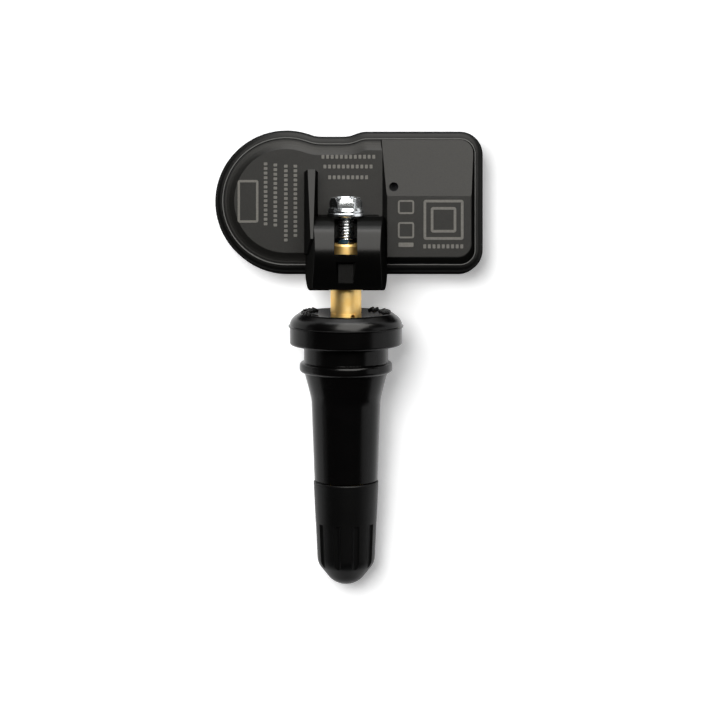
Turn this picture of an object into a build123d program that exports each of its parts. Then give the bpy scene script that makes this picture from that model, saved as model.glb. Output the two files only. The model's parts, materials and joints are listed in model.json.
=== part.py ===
from build123d import *

import os
from math import asin, cos, degrees, radians, sin, sqrt, tan

# Tyre pressure sensor on a snap-in rubber valve, lying face up as it comes to rest.
# Millimetres. +Z is up and +Y runs from the valve cap to the back of the housing. The vent hole is at +X.
# The origin is on the surface the part lies on, under the middle of the whole part.
# The valve is turned about its own axis. A station is a distance along that axis from the tilt pivot,
# positive towards the cap.

# Coin cell and board, which set the housing's width and height.
CELL_RADIUS = 10.0
CELL_HEIGHT = 3.2
CELL_GAP = 0.5
CELL_CAP_INSET = 1.2
CELL_CAP_HEIGHT = 0.5
CELL_CHAMFER = 0.25
TAB_THICKNESS = 0.15
TAB_WIDTH = 3.0
TAB_REACH = 0.8
BOARD_THICKNESS = 0.8
BOARD_GAP = 0.25
BOARD_HEADROOM = 1.6

# Shell and cover.
WALL = 1.9
ROOF = 1.3
COVER_LIP = 1.0
COVER_THICKNESS = 1.2
COVER_GAP = 0.05
POST_RADIUS = 1.4
POST_INSET = 4.6

# Housing plan: a round lobe over the cell, a square end on the right and a shallow dip in the back edge.
HOUSING_LENGTH = 46.6
SQUARE_DROP = 0.2
CORNER_RADIUS = 4.0
DIP_DEPTH = 0.88
DIP_LENGTH = 5.75
DIP_RISE = 2.4
DIP_ROUND = 5.0
LOBE_ROUND = 6.0

# Housing edge: an outer round, a thin raised bead, then a hollow sweep up to the printed panel.
EDGE_ROUND = 1.2
FOOT_ROUND = 0.5
BEAD_WIDTH = 0.36
BEAD_HEIGHT = 0.16
BEAD_ROUND = 0.12
SWEEP_WIDTH = 1.85
SWEEP_STRIPS = 4
PANEL_RISE = 0.65

# Raised block at the right, which slopes down nearly to the rim along the back.
PLATEAU_RISE = 2.25
PLATEAU_LEFT = 6.0
PLATEAU_LEFT_DRAFT = 1.05
PLATEAU_LEFT_WALL = 0.3
PLATEAU_SIDE_DRAFT = 0.55
PLATEAU_FRONT_DRAFT = 0.95
PLATEAU_ROUND = 0.2
INCLINE_LENGTH = 9.9
INCLINE_FOOT = 0.4

# Hood: the round bracket that the valve tilts in. It is open in front for the stem and slotted behind
# for the clamp screw.
STEM_X = -0.5
STEM_TILT_MAX = 39.5
PIVOT_SETBACK = 3.1
FLOOR_GAP = 0.05
HOOD_RADIUS = 6.35
HOOD_FOOT_WIDTH = 14.0
HOOD_TOP_WIDTH = 11.3
HOOD_TOP_SHIFT = 0.3
HOOD_NOSE_ANGLE = 30.0
HOOD_NOSE_ROUND = 1.0
HOOD_EDGE_ROUND = 0.2
CHANNEL_GAP = 0.2
SLOT_GAP = 0.45
SLOT_FRONT = 0.5
SLOT_LEAD = 0.6
POCKET_FLOOR_WIDTH = 2.55
POCKET_MOUTH_WIDTH = 3.55
POCKET_BACK = 1.8
POCKET_ROOF = 1.43
TRENCH_BACK = 0.55
TRENCH_DEPTH = 0.55

# Rib that braces the left cheek of the hood.
RIB_X = -6.1
RIB_FOOT_WIDTH = 2.5
RIB_TOP_WIDTH = 0.35
RIB_TOP_SHIFT = 0.4
RIB_REACH = 14.3
RIB_START = 5.5

# Vent in the slope, over the pressure chip.
VENT_INSET = 2.25
VENT_BEHIND = 1.6
VENT_RADIUS = 0.8
VENT_BOSS_RADIUS = 1.7
VENT_BOSS_DEPTH = 0.25
VENT_SEAL_RADIUS = 1.35
VENT_SEAL_GAP = 0.1
VENT_SEAL_HEIGHT = 0.3

# Other pieces on the board.
NOTCH_WALL = 1.73
NOTCH_DEPTH = 3.9
CHIP_SIZE = 4.0
CHIP_PORT_OFFSET = 1.3
CHIP_PORT_RADIUS = 0.4
CHIP_PORT_DEPTH = 0.6
COIL_INSET = 3.8
COIL_Y = 4.0
COIL_LENGTH = 7.0
COIL_HEADROOM = 0.4
COIL_FLANGE_LENGTH = 1.0
WIRE_DEPTH = 0.55
WIRE_INSET = 0.15
WIRE_ROUND = 0.3
CRYSTAL_INSET = 7.2
CRYSTAL_Y = 10.5
CRYSTAL_LENGTH = 3.2
CRYSTAL_WIDTH = 2.5
CRYSTAL_HEIGHT = 0.75
CRYSTAL_ROUND = 0.4
ANTENNA_INSET = 3.1
ANTENNA_Y = 8.0
ANTENNA_LENGTH = 12.0
ANTENNA_GAP = 0.1
ANTENNA_STRIP = 0.5
ANTENNA_WIDTH = 0.8
CAPACITOR_LENGTH = 1.0
CAPACITOR_WIDTH = 0.5
CAPACITOR_PITCH = 1.7
CAPACITOR_COUNT = 6
CAPACITOR_INSET = 4.15

# Clamp screw and its washer.
SCREW_RADIUS = 1.5
SCREW_HOLE_GAP = 0.05
SCREW_END = 4.2
SCREW_HOLE_SPARE = 0.8
SCREW_POINT = 0.4
WASHER_RADIUS = 3.2
WASHER_THICKNESS = 0.65
WASHER_HOLE_GAP = 0.15
WASHER_SEAT_GAP = 0.05
WASHER_PANEL_GAP = 0.8
WASHER_CHAMFER = 0.15
SCREW_FLANGE_RADIUS = 3.1
SCREW_FLANGE_EDGE = 0.35
SCREW_FLANGE_CONE = 0.45
HEX_ACROSS_FLATS = 3.75
HEX_HEIGHT = 1.8
HEX_CHAMFER = 0.25

# Rubber body, from its sealing flange to the end of its sleeve.
FLANGE_CREST = 10.1
FLANGE_CREST_RADIUS = 7.9
FLANGE_CREST_ROUND = 1.0
FLANGE_DISH_DEPTH = 1.1
FLANGE_DISH_MARGIN = 1.0
FLANGE_RADIUS = 9.7
FLANGE_LENGTH = 5.6
FLANGE_SHOULDER_DROP = 1.4
FLANGE_SHOULDER_ROUND = 2.0
FLANGE_END_ROUND = 0.4
FLASH_OFFSET = 2.4
FLASH_WIDTH = 0.3
FLASH_HEIGHT = 0.22
NECK_RADIUS = 7.3
NECK_LENGTH = 3.0
NECK_ROUND = 0.6
SNAP_BEAD_HEIGHT = 0.72
SNAP_BEAD_LENGTH = 1.6
SNAP_BEAD_ROUND = 0.6
SNAP_BEAD_FOOT_ROUND = 0.1
SNAP_BEAD_RELIEF = 0.35
TAPER_START_RADIUS = 7.15
TAPER_LENGTH = 4.5
TAPER_END_RADIUS = 6.0
TAPER_ROUND = 6.0
SLEEVE_LENGTH = 14.2
SLEEVE_END_RADIUS = 5.5

# Brass stem.
STEM_RADIUS = 2.67
STEM_INNER_END = -1.7
STEM_END_CHAMFER = 0.3
STEM_GROOVE_WIDTH = 0.2
STEM_GROOVE_DEPTH = 0.12
STEM_GROOVE_GAP = 0.05
STEM_SHANK_RADIUS = 3.1
STEM_SHANK_INSET = 1.25
STEM_SHOULDER_GAP = 0.5
STEM_TIP_LENGTH = 12.3
STEM_THREAD_RADIUS = 3.85
STEM_THREAD_CHAMFER = 0.5
BARB_HEIGHT = 0.5
BARB_LENGTH = 1.6
BARB_INSET = 2.0
BARB_PITCH = 6.0
BARB_COUNT = 3
AIR_BORE_RADIUS = 1.2
AIR_BORE_INSET = 0.95
AIR_INLET_RADIUS = 0.42
AIR_INLET_GAP = 0.05
AIR_INLET_ANGLE = 27.0

# Valve core, measured inwards from the stem's tip.
CORE_PLUG_RADIUS = 2.55
CORE_PLUG_DEPTH = 0.9
CORE_PLUG_GAP = 0.07
CORE_SEAT_DEPTH = 6.7
CORE_SEAT_LENGTH = 1.0
CORE_SEAT_STEP = 0.12
CORE_NECK_RADIUS = 1.6
CORE_BARREL_RADIUS = 1.92
CORE_BARREL_DEPTH = 12.9
CORE_BARREL_GAP = 0.13
CORE_BARREL_WALL = 0.42
CORE_BARREL_FLOOR = 0.8
CORE_BARREL_TOP = 0.3
CORE_CHAMBER_SPARE = 3.5
CORE_GASKET_GAP = 0.02
PIN_RADIUS = 0.5
PIN_GAP = 0.18
PIN_DEPTH = 0.3
PIN_COLLAR_GAP = 0.15
PIN_COLLAR_LENGTH = 0.6
PIN_COLLAR_SPARE = 0.3
PIN_FOOT_RADIUS = 1.3
PIN_FOOT_LENGTH = 0.6
PIN_SEAL_RADIUS = 1.5
PIN_SEAL_LENGTH = 0.8
SPRING_GAP = 0.33
SPRING_WIRE_RADIUS = 0.17
SPRING_TURNS = 5

# Dust cap.
CAP_RIM_GAP = 0.25
CAP_RIM_ROUND = 0.25
CAP_RIM_WALL = 1.3
CAP_COUNTERBORE_GAP = 0.5
CAP_COUNTERBORE_DEPTH = 2.25
CAP_THREAD_GAP = 0.1
CAP_WALL = 1.05
CAP_END_WALL = 4.75
CAP_TIP_RADIUS = 4.0
CAP_TIP_ANGLE = 52.0
CAP_SHOULDER_ROUND = 3.0
CAP_SEAL_GAP = 0.1
CAP_SEAL_THICKNESS = 0.95
CAP_SEAL_INSET = 0.25
FLUTE_COUNT = 10
FLUTE_OFFSET = 7.25
FLUTE_END_GAP = 1.5
FLUTE_RADIUS = 0.75
FLUTE_DEPTH = 0.42
FLUTE_TURN = 17.0

# Heights, worked up from the surface through the cell and the board.
CELL_BASE = COVER_THICKNESS + TAB_THICKNESS
BOARD_BASE = CELL_BASE + CELL_HEIGHT + TAB_THICKNESS
BOARD_TOP = BOARD_BASE + BOARD_THICKNESS
CEILING = BOARD_TOP + BOARD_HEADROOM
PANEL_HEIGHT = CEILING + ROOF
RIM_HEIGHT = PANEL_HEIGHT - PANEL_RISE
PLATEAU_HEIGHT = RIM_HEIGHT + PLATEAU_RISE
HIGH_CEILING = PLATEAU_HEIGHT - ROOF
INCLINE_SLOPE = (PLATEAU_RISE - INCLINE_FOOT) / INCLINE_LENGTH
VENT_BOSS_BASE = HIGH_CEILING - INCLINE_SLOPE * VENT_BEHIND - VENT_BOSS_DEPTH
CHIP_TOP = VENT_BOSS_BASE - VENT_SEAL_HEIGHT
CHIP_HEIGHT = CHIP_TOP - BOARD_TOP
COIL_FLANGE = HIGH_CEILING - COIL_HEADROOM - BOARD_TOP
COIL_BAR = COIL_FLANGE - 2 * WIRE_DEPTH
WINDING_SIZE = COIL_FLANGE - 2 * WIRE_INSET
ANTENNA_HEIGHT = BOARD_HEADROOM - ANTENNA_GAP
PIVOT_Z = PANEL_HEIGHT + WASHER_RADIUS + WASHER_PANEL_GAP

# Stations along the valve, from the pivot to the cap's tip, and the radii that go with them.
WASHER_SEAT = -HOOD_RADIUS - WASHER_SEAT_GAP
SCREW_SEAT = WASHER_SEAT - WASHER_THICKNESS
SCREW_HOLE_END = SCREW_END + SCREW_HOLE_SPARE
FLANGE_DISH = FLANGE_CREST + FLANGE_DISH_DEPTH
FLANGE_END = FLANGE_CREST + FLANGE_LENGTH
FLASH_STATION = FLANGE_CREST + FLASH_OFFSET
SNAP_BEAD_START = FLANGE_END + NECK_LENGTH
SNAP_BEAD_END = SNAP_BEAD_START + SNAP_BEAD_LENGTH
SNAP_BEAD_RADIUS = NECK_RADIUS + SNAP_BEAD_HEIGHT
TAPER_START = SNAP_BEAD_END + SNAP_BEAD_RELIEF
TAPER_END = TAPER_START + TAPER_LENGTH
SLEEVE_END = TAPER_END + SLEEVE_LENGTH
AIR_INLET_STATION = FLANGE_DISH - AIR_INLET_RADIUS - AIR_INLET_GAP
AIR_BORE_START = AIR_INLET_STATION - AIR_BORE_INSET
STEM_GROOVE = AIR_INLET_STATION - AIR_INLET_RADIUS - STEM_GROOVE_GAP - STEM_GROOVE_WIDTH
STEM_SHANK_START = FLANGE_DISH + STEM_SHANK_INSET
STEM_SHOULDER = SLEEVE_END + STEM_SHOULDER_GAP
STEM_TIP = STEM_SHOULDER + STEM_TIP_LENGTH
CORE_PLUG_END = STEM_TIP - CORE_PLUG_DEPTH
CORE_MOUTH_RADIUS = CORE_PLUG_RADIUS + CORE_PLUG_GAP
CORE_SEAT_START = STEM_TIP - CORE_SEAT_DEPTH
CORE_SEAT_RADIUS = CORE_MOUTH_RADIUS - CORE_SEAT_STEP
CORE_BARREL_END = STEM_TIP - CORE_BARREL_DEPTH
CORE_CHAMBER_RADIUS = CORE_BARREL_RADIUS + CORE_BARREL_GAP
CORE_CHAMBER_START = CORE_BARREL_END - CORE_CHAMBER_SPARE
CORE_SPRING_BORE = CORE_BARREL_RADIUS - CORE_BARREL_WALL
CORE_SPRING_BORE_START = CORE_BARREL_END + CORE_BARREL_FLOOR
CORE_SPRING_BORE_END = CORE_SEAT_START - CORE_BARREL_TOP
CORE_GUIDE_RADIUS = PIN_RADIUS + PIN_GAP
PIN_TIP = STEM_TIP - PIN_DEPTH
PIN_COLLAR_RADIUS = CORE_SPRING_BORE - PIN_COLLAR_GAP
PIN_COLLAR_START = CORE_SPRING_BORE_END - PIN_COLLAR_SPARE - PIN_COLLAR_LENGTH
SPRING_RADIUS = CORE_SPRING_BORE - SPRING_GAP - SPRING_WIRE_RADIUS
CAP_RIM = SLEEVE_END + CAP_RIM_GAP
CAP_COUNTERBORE_RADIUS = STEM_THREAD_RADIUS + CAP_COUNTERBORE_GAP
CAP_COUNTERBORE_END = CAP_RIM + CAP_COUNTERBORE_DEPTH
CAP_RIM_RADIUS = CAP_COUNTERBORE_RADIUS + CAP_RIM_WALL
CAP_BORE_RADIUS = STEM_THREAD_RADIUS + CAP_THREAD_GAP
CAP_SHOULDER_RADIUS = CAP_BORE_RADIUS + CAP_WALL
CAP_SEAL_RADIUS = CAP_BORE_RADIUS - CAP_SEAL_INSET
CAP_SEAL_START = STEM_TIP + CAP_SEAL_GAP
CAP_BORE_END = CAP_SEAL_START + CAP_SEAL_THICKNESS
CAP_TIP = CAP_BORE_END + CAP_END_WALL
CAP_TIP_CENTRE = CAP_TIP - CAP_TIP_RADIUS
CAP_CONE_STATION = CAP_TIP_CENTRE + CAP_TIP_RADIUS * cos(radians(CAP_TIP_ANGLE))
CAP_CONE_RADIUS = CAP_TIP_RADIUS * sin(radians(CAP_TIP_ANGLE))
CAP_SHOULDER = CAP_CONE_STATION - (CAP_SHOULDER_RADIUS - CAP_CONE_RADIUS) * tan(radians(CAP_TIP_ANGLE))
FLUTE_START = CAP_RIM + FLUTE_OFFSET
FLUTE_END = CAP_TIP - FLUTE_END_GAP


def tilt_to_floor(station, radius):
    """The tilt, in radians, at which a corner of the valve comes down to the surface below."""
    reach = sqrt(station**2 + radius**2)
    return asin((PIVOT_Z - FLOOR_GAP) / reach) - asin(radius / reach)


# The valve lies on its flange or its cap, whichever comes down first.
LYING_TILT = min(tilt_to_floor(FLANGE_END, FLANGE_RADIUS), tilt_to_floor(CAP_SHOULDER, CAP_SHOULDER_RADIUS))
TILT_SIN = sin(LYING_TILT)
TILT_COS = cos(LYING_TILT)

# Places in plan. The whole part, from the cap's tip to the back edge, is centred on the origin.
LOBE_RADIUS = CELL_RADIUS + CELL_GAP + WALL
HOUSING_WIDTH = 2 * LOBE_RADIUS
CAP_REACH = CAP_TIP_CENTRE * TILT_COS + CAP_TIP_RADIUS
PIVOT_Y = (CAP_REACH + PIVOT_SETBACK - HOUSING_WIDTH) / 2
FRONT_Y = PIVOT_Y - PIVOT_SETBACK
BACK_Y = FRONT_Y + HOUSING_WIDTH - SQUARE_DROP
DIP_Y = BACK_Y - DIP_DEPTH
RIGHT_X = HOUSING_LENGTH / 2
LOBE_X = LOBE_RADIUS - RIGHT_X
LOBE_Y = FRONT_Y + LOBE_RADIUS
LOBE_MEET_X = LOBE_X + sqrt(LOBE_RADIUS**2 - (DIP_Y - LOBE_Y) ** 2)
DIP_END_X = LOBE_MEET_X + DIP_LENGTH
BEAD_INSET = EDGE_ROUND
DECK_INSET = BEAD_INSET + BEAD_WIDTH
PLATEAU_X = STEM_X + PLATEAU_LEFT
INCLINE_BACK_Y = BACK_Y - DECK_INSET
INCLINE_Y = INCLINE_BACK_Y - INCLINE_LENGTH
VENT_X = PLATEAU_X + VENT_INSET
VENT_Y = INCLINE_Y + VENT_BEHIND
COIL_PLACE = (RIGHT_X - COIL_INSET - COIL_LENGTH / 2, PIVOT_Y + COIL_Y, BOARD_TOP + COIL_FLANGE / 2)
CHANNEL_RADIUS = STEM_RADIUS + CHANNEL_GAP
CHANNEL_NEST = sqrt(STEM_INNER_END**2 + STEM_RADIUS**2) + CHANNEL_GAP
NOTCH_HALF_WIDTH = CHANNEL_RADIUS + NOTCH_WALL
SLOT_HALF_WIDTH = SCREW_RADIUS + SLOT_GAP
FAR = 3 * HOUSING_LENGTH

# The valve's own frame: local Y along its axis towards the cap, local -Z on its upper side.
PIVOT = (STEM_X, PIVOT_Y, PIVOT_Z)
VALVE_FRAME = Plane(origin=PIVOT, x_dir=(1, 0, 0), z_dir=(0, TILT_SIN, -TILT_COS))
# Side view at the pivot, drawn with +Y across and +Z up, and end view, drawn with +X across and +Z up.
SIDE_VIEW = Plane(origin=PIVOT, x_dir=(0, 1, 0), z_dir=(1, 0, 0))
END_VIEW = Plane(origin=PIVOT, x_dir=(1, 0, 0), z_dir=(0, -1, 0))


def rounded(face, rounds):
    """A flat face with the corner nearest each point rounded, from (point, radius) pairs."""
    for point, radius in rounds:
        corner = face.vertices().sort_by_distance(point)[0]
        face = fillet(corner, radius)
    return face


def polygon(*points, rounds=()):
    """A closed straight-sided face, with some corners rounded."""
    return rounded(Sketch() + make_face(Polyline(*points, close=True)), rounds)


def turned(*points, rounds=()):
    """A solid turned about the valve's axis from (radius, station) points, in the valve's frame."""
    return revolve(polygon(*points, rounds=rounds), axis=Axis.Y)


def block(low, high):
    """A box between two opposite corners."""
    size = [b - a for a, b in zip(low, high)]
    middle = [(a + b) / 2 for a, b in zip(low, high)]
    return Pos(*middle) * Box(*size)


def upright(x, y, z_low, z_high, radius):
    """A vertical round post."""
    return Pos(x, y, (z_low + z_high) / 2) * Cylinder(radius, z_high - z_low)


def across(face, width):
    """A side-view face carried across the hood, the same each way from the valve's axis."""
    return extrude(SIDE_VIEW * face, amount=width / 2, both=True)


def plan(inset=0.0, right_x=RIGHT_X):
    """The housing's outline, drawn in by an inset."""
    edges = [
        Line((LOBE_X, FRONT_Y), (right_x, FRONT_Y)),
        Line((right_x, FRONT_Y), (right_x, BACK_Y)),
        Line((right_x, BACK_Y), (DIP_END_X + DIP_RISE, BACK_Y)),
        Line((DIP_END_X + DIP_RISE, BACK_Y), (DIP_END_X, DIP_Y)),
        Line((DIP_END_X, DIP_Y), (LOBE_MEET_X, DIP_Y)),
        ThreePointArc((LOBE_MEET_X, DIP_Y), (LOBE_X - LOBE_RADIUS, LOBE_Y), (LOBE_X, FRONT_Y)),
    ]
    face = rounded(
        Sketch() + make_face(edges),
        [
            ((right_x, FRONT_Y), CORNER_RADIUS),
            ((right_x, BACK_Y), CORNER_RADIUS),
            ((DIP_END_X + DIP_RISE, BACK_Y), DIP_ROUND),
            ((DIP_END_X, DIP_Y), DIP_ROUND),
            ((LOBE_MEET_X, DIP_Y), LOBE_ROUND),
        ],
    )
    return offset(face, amount=-inset) if inset else face


def slab(face, z_low, z_high):
    """A plan face carried up between two heights."""
    return extrude(Pos(0, 0, z_low) * face, amount=z_high - z_low)


def housing_tray():
    """The lower body of the housing, with its rounded edge and the thin bead along it."""
    tray = slab(plan(), 0, RIM_HEIGHT)
    tray = fillet(tray.edges().group_by(Axis.Z)[-1], EDGE_ROUND)
    tray = fillet(tray.edges().group_by(Axis.Z)[0], FOOT_ROUND)
    bead = slab(plan(BEAD_INSET) - plan(DECK_INSET), RIM_HEIGHT - BEAD_WIDTH, RIM_HEIGHT + BEAD_HEIGHT)
    return tray + fillet(bead.edges().group_by(Axis.Z)[-1], BEAD_ROUND)


def housing_deck():
    """The printed panel, raised on a hollow sweep that is a round arc in section."""
    arc_radius = (SWEEP_WIDTH**2 + PANEL_RISE**2) / (2 * PANEL_RISE)
    deck = None
    for strip in range(SWEEP_STRIPS):
        sections = []
        for step in (strip, strip + 1):
            run = SWEEP_WIDTH * step / SWEEP_STRIPS
            height = RIM_HEIGHT + arc_radius - sqrt(arc_radius**2 - run**2)
            sections.append(Pos(0, 0, height) * plan(DECK_INSET + run, FAR))
        layer = loft(sections, ruled=True)
        deck = layer if deck is None else deck + layer
    return deck & block((-FAR, -FAR, 0), (PLATEAU_X + PLATEAU_LEFT_DRAFT, FAR, FAR))


def housing_plateau():
    """The raised block at the right, with drafted sides and the slope down to the back rim."""
    corner = CORNER_RADIUS - DECK_INSET
    top_drafts = (PLATEAU_LEFT_DRAFT, PLATEAU_SIDE_DRAFT, PLATEAU_FRONT_DRAFT)
    levels = ((RIM_HEIGHT, (0, 0, 0)), (PLATEAU_HEIGHT, top_drafts))
    sections = []
    for height, (left_in, side_in, front_in) in levels:
        left = PLATEAU_X + left_in
        right = RIGHT_X - DECK_INSET - side_in
        front = FRONT_Y + DECK_INSET + front_in
        face = polygon(
            (left, front),
            (right, front),
            (right, INCLINE_BACK_Y),
            (left, INCLINE_BACK_Y),
            rounds=[((right, front), corner), ((right, INCLINE_BACK_Y), corner)],
        )
        sections.append(Pos(0, 0, height) * face)
    plateau = loft(sections, ruled=True)
    slope_end = PLATEAU_HEIGHT - INCLINE_SLOPE * 2 * INCLINE_LENGTH
    over_slope = polygon(
        (INCLINE_Y, PLATEAU_HEIGHT),
        (INCLINE_Y + 2 * INCLINE_LENGTH, slope_end),
        (INCLINE_Y + 2 * INCLINE_LENGTH, 2 * PLATEAU_HEIGHT),
        (INCLINE_Y, 2 * PLATEAU_HEIGHT),
    )
    plateau = plateau - extrude(Plane.YZ * over_slope, amount=FAR, both=True)
    flat_top = plateau.faces().sort_by(Axis.Z)[-1]
    crest = flat_top.edges().sort_by(Axis.Y)[-1]
    return fillet([edge for edge in flat_top.edges() if edge.center() != crest.center()], PLATEAU_ROUND)


def hood():
    """The hood's outer form: a round barrel with a fuller nose, on drafted sides."""
    angle = radians(HOOD_NOSE_ANGLE)
    nose_start = (-HOOD_RADIUS * sin(angle), HOOD_RADIUS * cos(angle))
    nose_top = nose_start[1] - (HOOD_RADIUS + nose_start[0]) * tan(angle)
    nose = polygon((0, 0), nose_start, (-HOOD_RADIUS, nose_top), (-HOOD_RADIUS, 0))
    nose = rounded(nose, [((-HOOD_RADIUS, nose_top), HOOD_NOSE_ROUND)])
    barrel = across(Sketch() + Circle(HOOD_RADIUS) + nose, 2 * HOOD_FOOT_WIDTH)
    foot = PANEL_HEIGHT - PIVOT_Z
    draft = (HOOD_FOOT_WIDTH - HOOD_TOP_WIDTH) / 2 / (HOOD_RADIUS - foot)
    low_half = HOOD_FOOT_WIDTH / 2 + draft * (foot + HOOD_RADIUS)
    top_left = HOOD_TOP_SHIFT - HOOD_TOP_WIDTH / 2
    top_right = HOOD_TOP_SHIFT + HOOD_TOP_WIDTH / 2
    front = polygon(
        (-low_half, -HOOD_RADIUS), (low_half, -HOOD_RADIUS), (top_right, HOOD_RADIUS), (top_left, HOOD_RADIUS)
    )
    body = barrel & extrude(END_VIEW * front, amount=2 * HOOD_RADIUS, both=True)
    cheeks = body.faces().sort_by(Axis.X)
    return fillet(cheeks[0].edges() + cheeks[-1].edges(), HOOD_EDGE_ROUND)


def rib():
    """The bracing rib, which rises along a line that meets the hood's round at a tangent."""
    foot = PANEL_HEIGHT - PIVOT_Z - ROOF / 2
    start = PANEL_HEIGHT - PIVOT_Z + RIB_START
    distance = sqrt(RIB_REACH**2 + start**2)
    slope = asin(HOOD_RADIUS / distance) - asin(start / distance)
    touch = (HOOD_RADIUS * sin(slope), HOOD_RADIUS * cos(slope))
    side = polygon((RIB_REACH, foot), (RIB_REACH, start), touch, (0, 0), (0, foot))
    foot_half = RIB_FOOT_WIDTH / 2
    top_left = RIB_TOP_SHIFT - RIB_TOP_WIDTH / 2
    top_right = RIB_TOP_SHIFT + RIB_TOP_WIDTH / 2
    top = HOOD_RADIUS
    section = polygon((-foot_half, foot), (foot_half, foot), (top_right, top), (top_left, top))
    plate = extrude(END_VIEW * section, amount=2 * RIB_REACH, both=True)
    return Pos(RIB_X, 0, 0) * (plate & across(side, 2 * RIB_FOOT_WIDTH))


def stem_channel():
    """The space the stem's inner end needs in the hood through its whole tilt."""
    angle = radians(STEM_TILT_MAX)
    reach = 2 * HOOD_RADIUS
    floor_start = (CHANNEL_NEST * sin(angle), -CHANNEL_NEST * cos(angle))
    floor_end = (-reach, floor_start[1] - (reach + floor_start[0]) * tan(angle))
    sweep_face = polygon((0, CHANNEL_RADIUS), (-reach, CHANNEL_RADIUS), floor_end, floor_start)
    return across(Sketch() + Circle(CHANNEL_NEST) + sweep_face, 2 * CHANNEL_RADIUS)


def screw_slot():
    """The slot that the clamp screw swings in, with its corners eased where the washer bears."""
    floor = -SLOT_HALF_WIDTH
    side = polygon((-SLOT_FRONT, floor), (FAR, floor), (FAR, FAR), (-SLOT_FRONT, FAR))
    lead = polygon(
        (SLOT_HALF_WIDTH, HOOD_RADIUS - SLOT_LEAD),
        (SLOT_HALF_WIDTH + SLOT_LEAD, HOOD_RADIUS),
        (-SLOT_HALF_WIDTH - SLOT_LEAD, HOOD_RADIUS),
        (-SLOT_HALF_WIDTH, HOOD_RADIUS - SLOT_LEAD),
    )
    lead_solid = slab(Pos(STEM_X, PIVOT_Y) * lead, PIVOT_Z + floor, PIVOT_Z + HOOD_RADIUS)
    return across(side, 2 * SLOT_HALF_WIDTH) + lead_solid


def front_pocket():
    """The small flat-floored pocket in the hood's nose, with drafted sides."""
    floor = CHANNEL_RADIUS + POCKET_ROOF
    floor_half = POCKET_FLOOR_WIDTH / 2
    mouth_half = POCKET_MOUTH_WIDTH / 2
    section = polygon(
        (-floor_half, floor), (floor_half, floor), (mouth_half, HOOD_RADIUS), (-mouth_half, HOOD_RADIUS)
    )
    return Pos(0, -POCKET_BACK, 0) * extrude(END_VIEW * section, amount=2 * HOOD_RADIUS)


def board_notch(gap):
    """The part of the inside that the stem channel takes, from the board upwards."""
    half = NOTCH_HALF_WIDTH + gap
    return Pos(STEM_X, PIVOT_Y + NOTCH_DEPTH + gap - FAR / 2) * Rectangle(2 * half, FAR)


def housing_cavity():
    """The space inside the housing, open below for the cover."""
    lip = slab(plan(COVER_LIP), 0, COVER_THICKNESS)
    lower = slab(plan(WALL), 0, BOARD_BASE)
    upper = slab(plan(WALL) - board_notch(0), BOARD_BASE, CEILING)
    front = FRONT_Y + DECK_INSET + PLATEAU_FRONT_DRAFT + ROOF
    slope_run = (HIGH_CEILING - BOARD_TOP) / INCLINE_SLOPE
    under_plateau = polygon(
        (front, BOARD_TOP),
        (front, HIGH_CEILING),
        (INCLINE_Y, HIGH_CEILING),
        (INCLINE_Y + slope_run, BOARD_TOP),
    )
    left = PLATEAU_X + PLATEAU_LEFT_DRAFT + PLATEAU_LEFT_WALL
    right = RIGHT_X - DECK_INSET - PLATEAU_SIDE_DRAFT - ROOF
    prism = Pos(left, 0, 0) * extrude(Plane.YZ * under_plateau, amount=right - left)
    boss = upright(VENT_X, VENT_Y, VENT_BOSS_BASE, PLATEAU_HEIGHT, VENT_BOSS_RADIUS)
    seal_seat = upright(VENT_X, VENT_Y, BOARD_TOP, VENT_BOSS_BASE, VENT_SEAL_RADIUS + VENT_SEAL_GAP)
    return lip + lower + upper + ((prism & slab(plan(WALL), 0, PLATEAU_HEIGHT)) - boss) + seal_seat


def housing():
    """The moulded housing: tray, panel, plateau, rib and hood in one piece, hollow from below."""
    body = housing_tray() + housing_deck() + housing_plateau()
    trench_half = HOOD_TOP_WIDTH / 2
    trench_low = (STEM_X - trench_half, PIVOT_Y, PANEL_HEIGHT - TRENCH_DEPTH)
    trench_high = (STEM_X + trench_half, PIVOT_Y + HOOD_RADIUS + TRENCH_BACK, PIVOT_Z)
    body = body - block(trench_low, trench_high) + hood() + rib()
    body = body - stem_channel() - screw_slot() - front_pocket() - housing_cavity()
    return body - upright(VENT_X, VENT_Y, BOARD_TOP, 2 * PLATEAU_HEIGHT, VENT_RADIUS)


def post_places():
    """Where the cover's posts carry the board, clear of the cell."""
    right = RIGHT_X - POST_INSET
    return [
        (right, FRONT_Y + POST_INSET),
        (right, BACK_Y - POST_INSET),
        (STEM_X + NOTCH_HALF_WIDTH, BACK_Y - POST_INSET),
    ]


def base_cover():
    """The cover that closes the housing from below, with the posts that carry the board."""
    cover = slab(plan(COVER_LIP + COVER_GAP), 0, COVER_THICKNESS)
    for x, y in post_places():
        cover += upright(x, y, COVER_THICKNESS, BOARD_BASE, POST_RADIUS)
    return cover


def circuit_board():
    """The board, cut back round the stem channel."""
    return slab(plan(WALL + BOARD_GAP) - board_notch(BOARD_GAP), BOARD_BASE, BOARD_TOP)


def battery():
    """The coin cell: a wide can with a smaller cap on its upper side."""
    cap_radius = CELL_RADIUS - CELL_CAP_INSET
    can_height = CELL_HEIGHT - CELL_CAP_HEIGHT
    profile = polygon(
        (0, 0),
        (CELL_RADIUS - CELL_CHAMFER, 0),
        (CELL_RADIUS, CELL_CHAMFER),
        (CELL_RADIUS, can_height - CELL_CHAMFER),
        (CELL_RADIUS - CELL_CHAMFER, can_height),
        (cap_radius, can_height),
        (cap_radius, CELL_HEIGHT),
        (0, CELL_HEIGHT),
    )
    cell = revolve(Plane.XZ * profile, axis=Axis.Z)
    return Pos(LOBE_X, LOBE_Y, CELL_BASE) * cell


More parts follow.
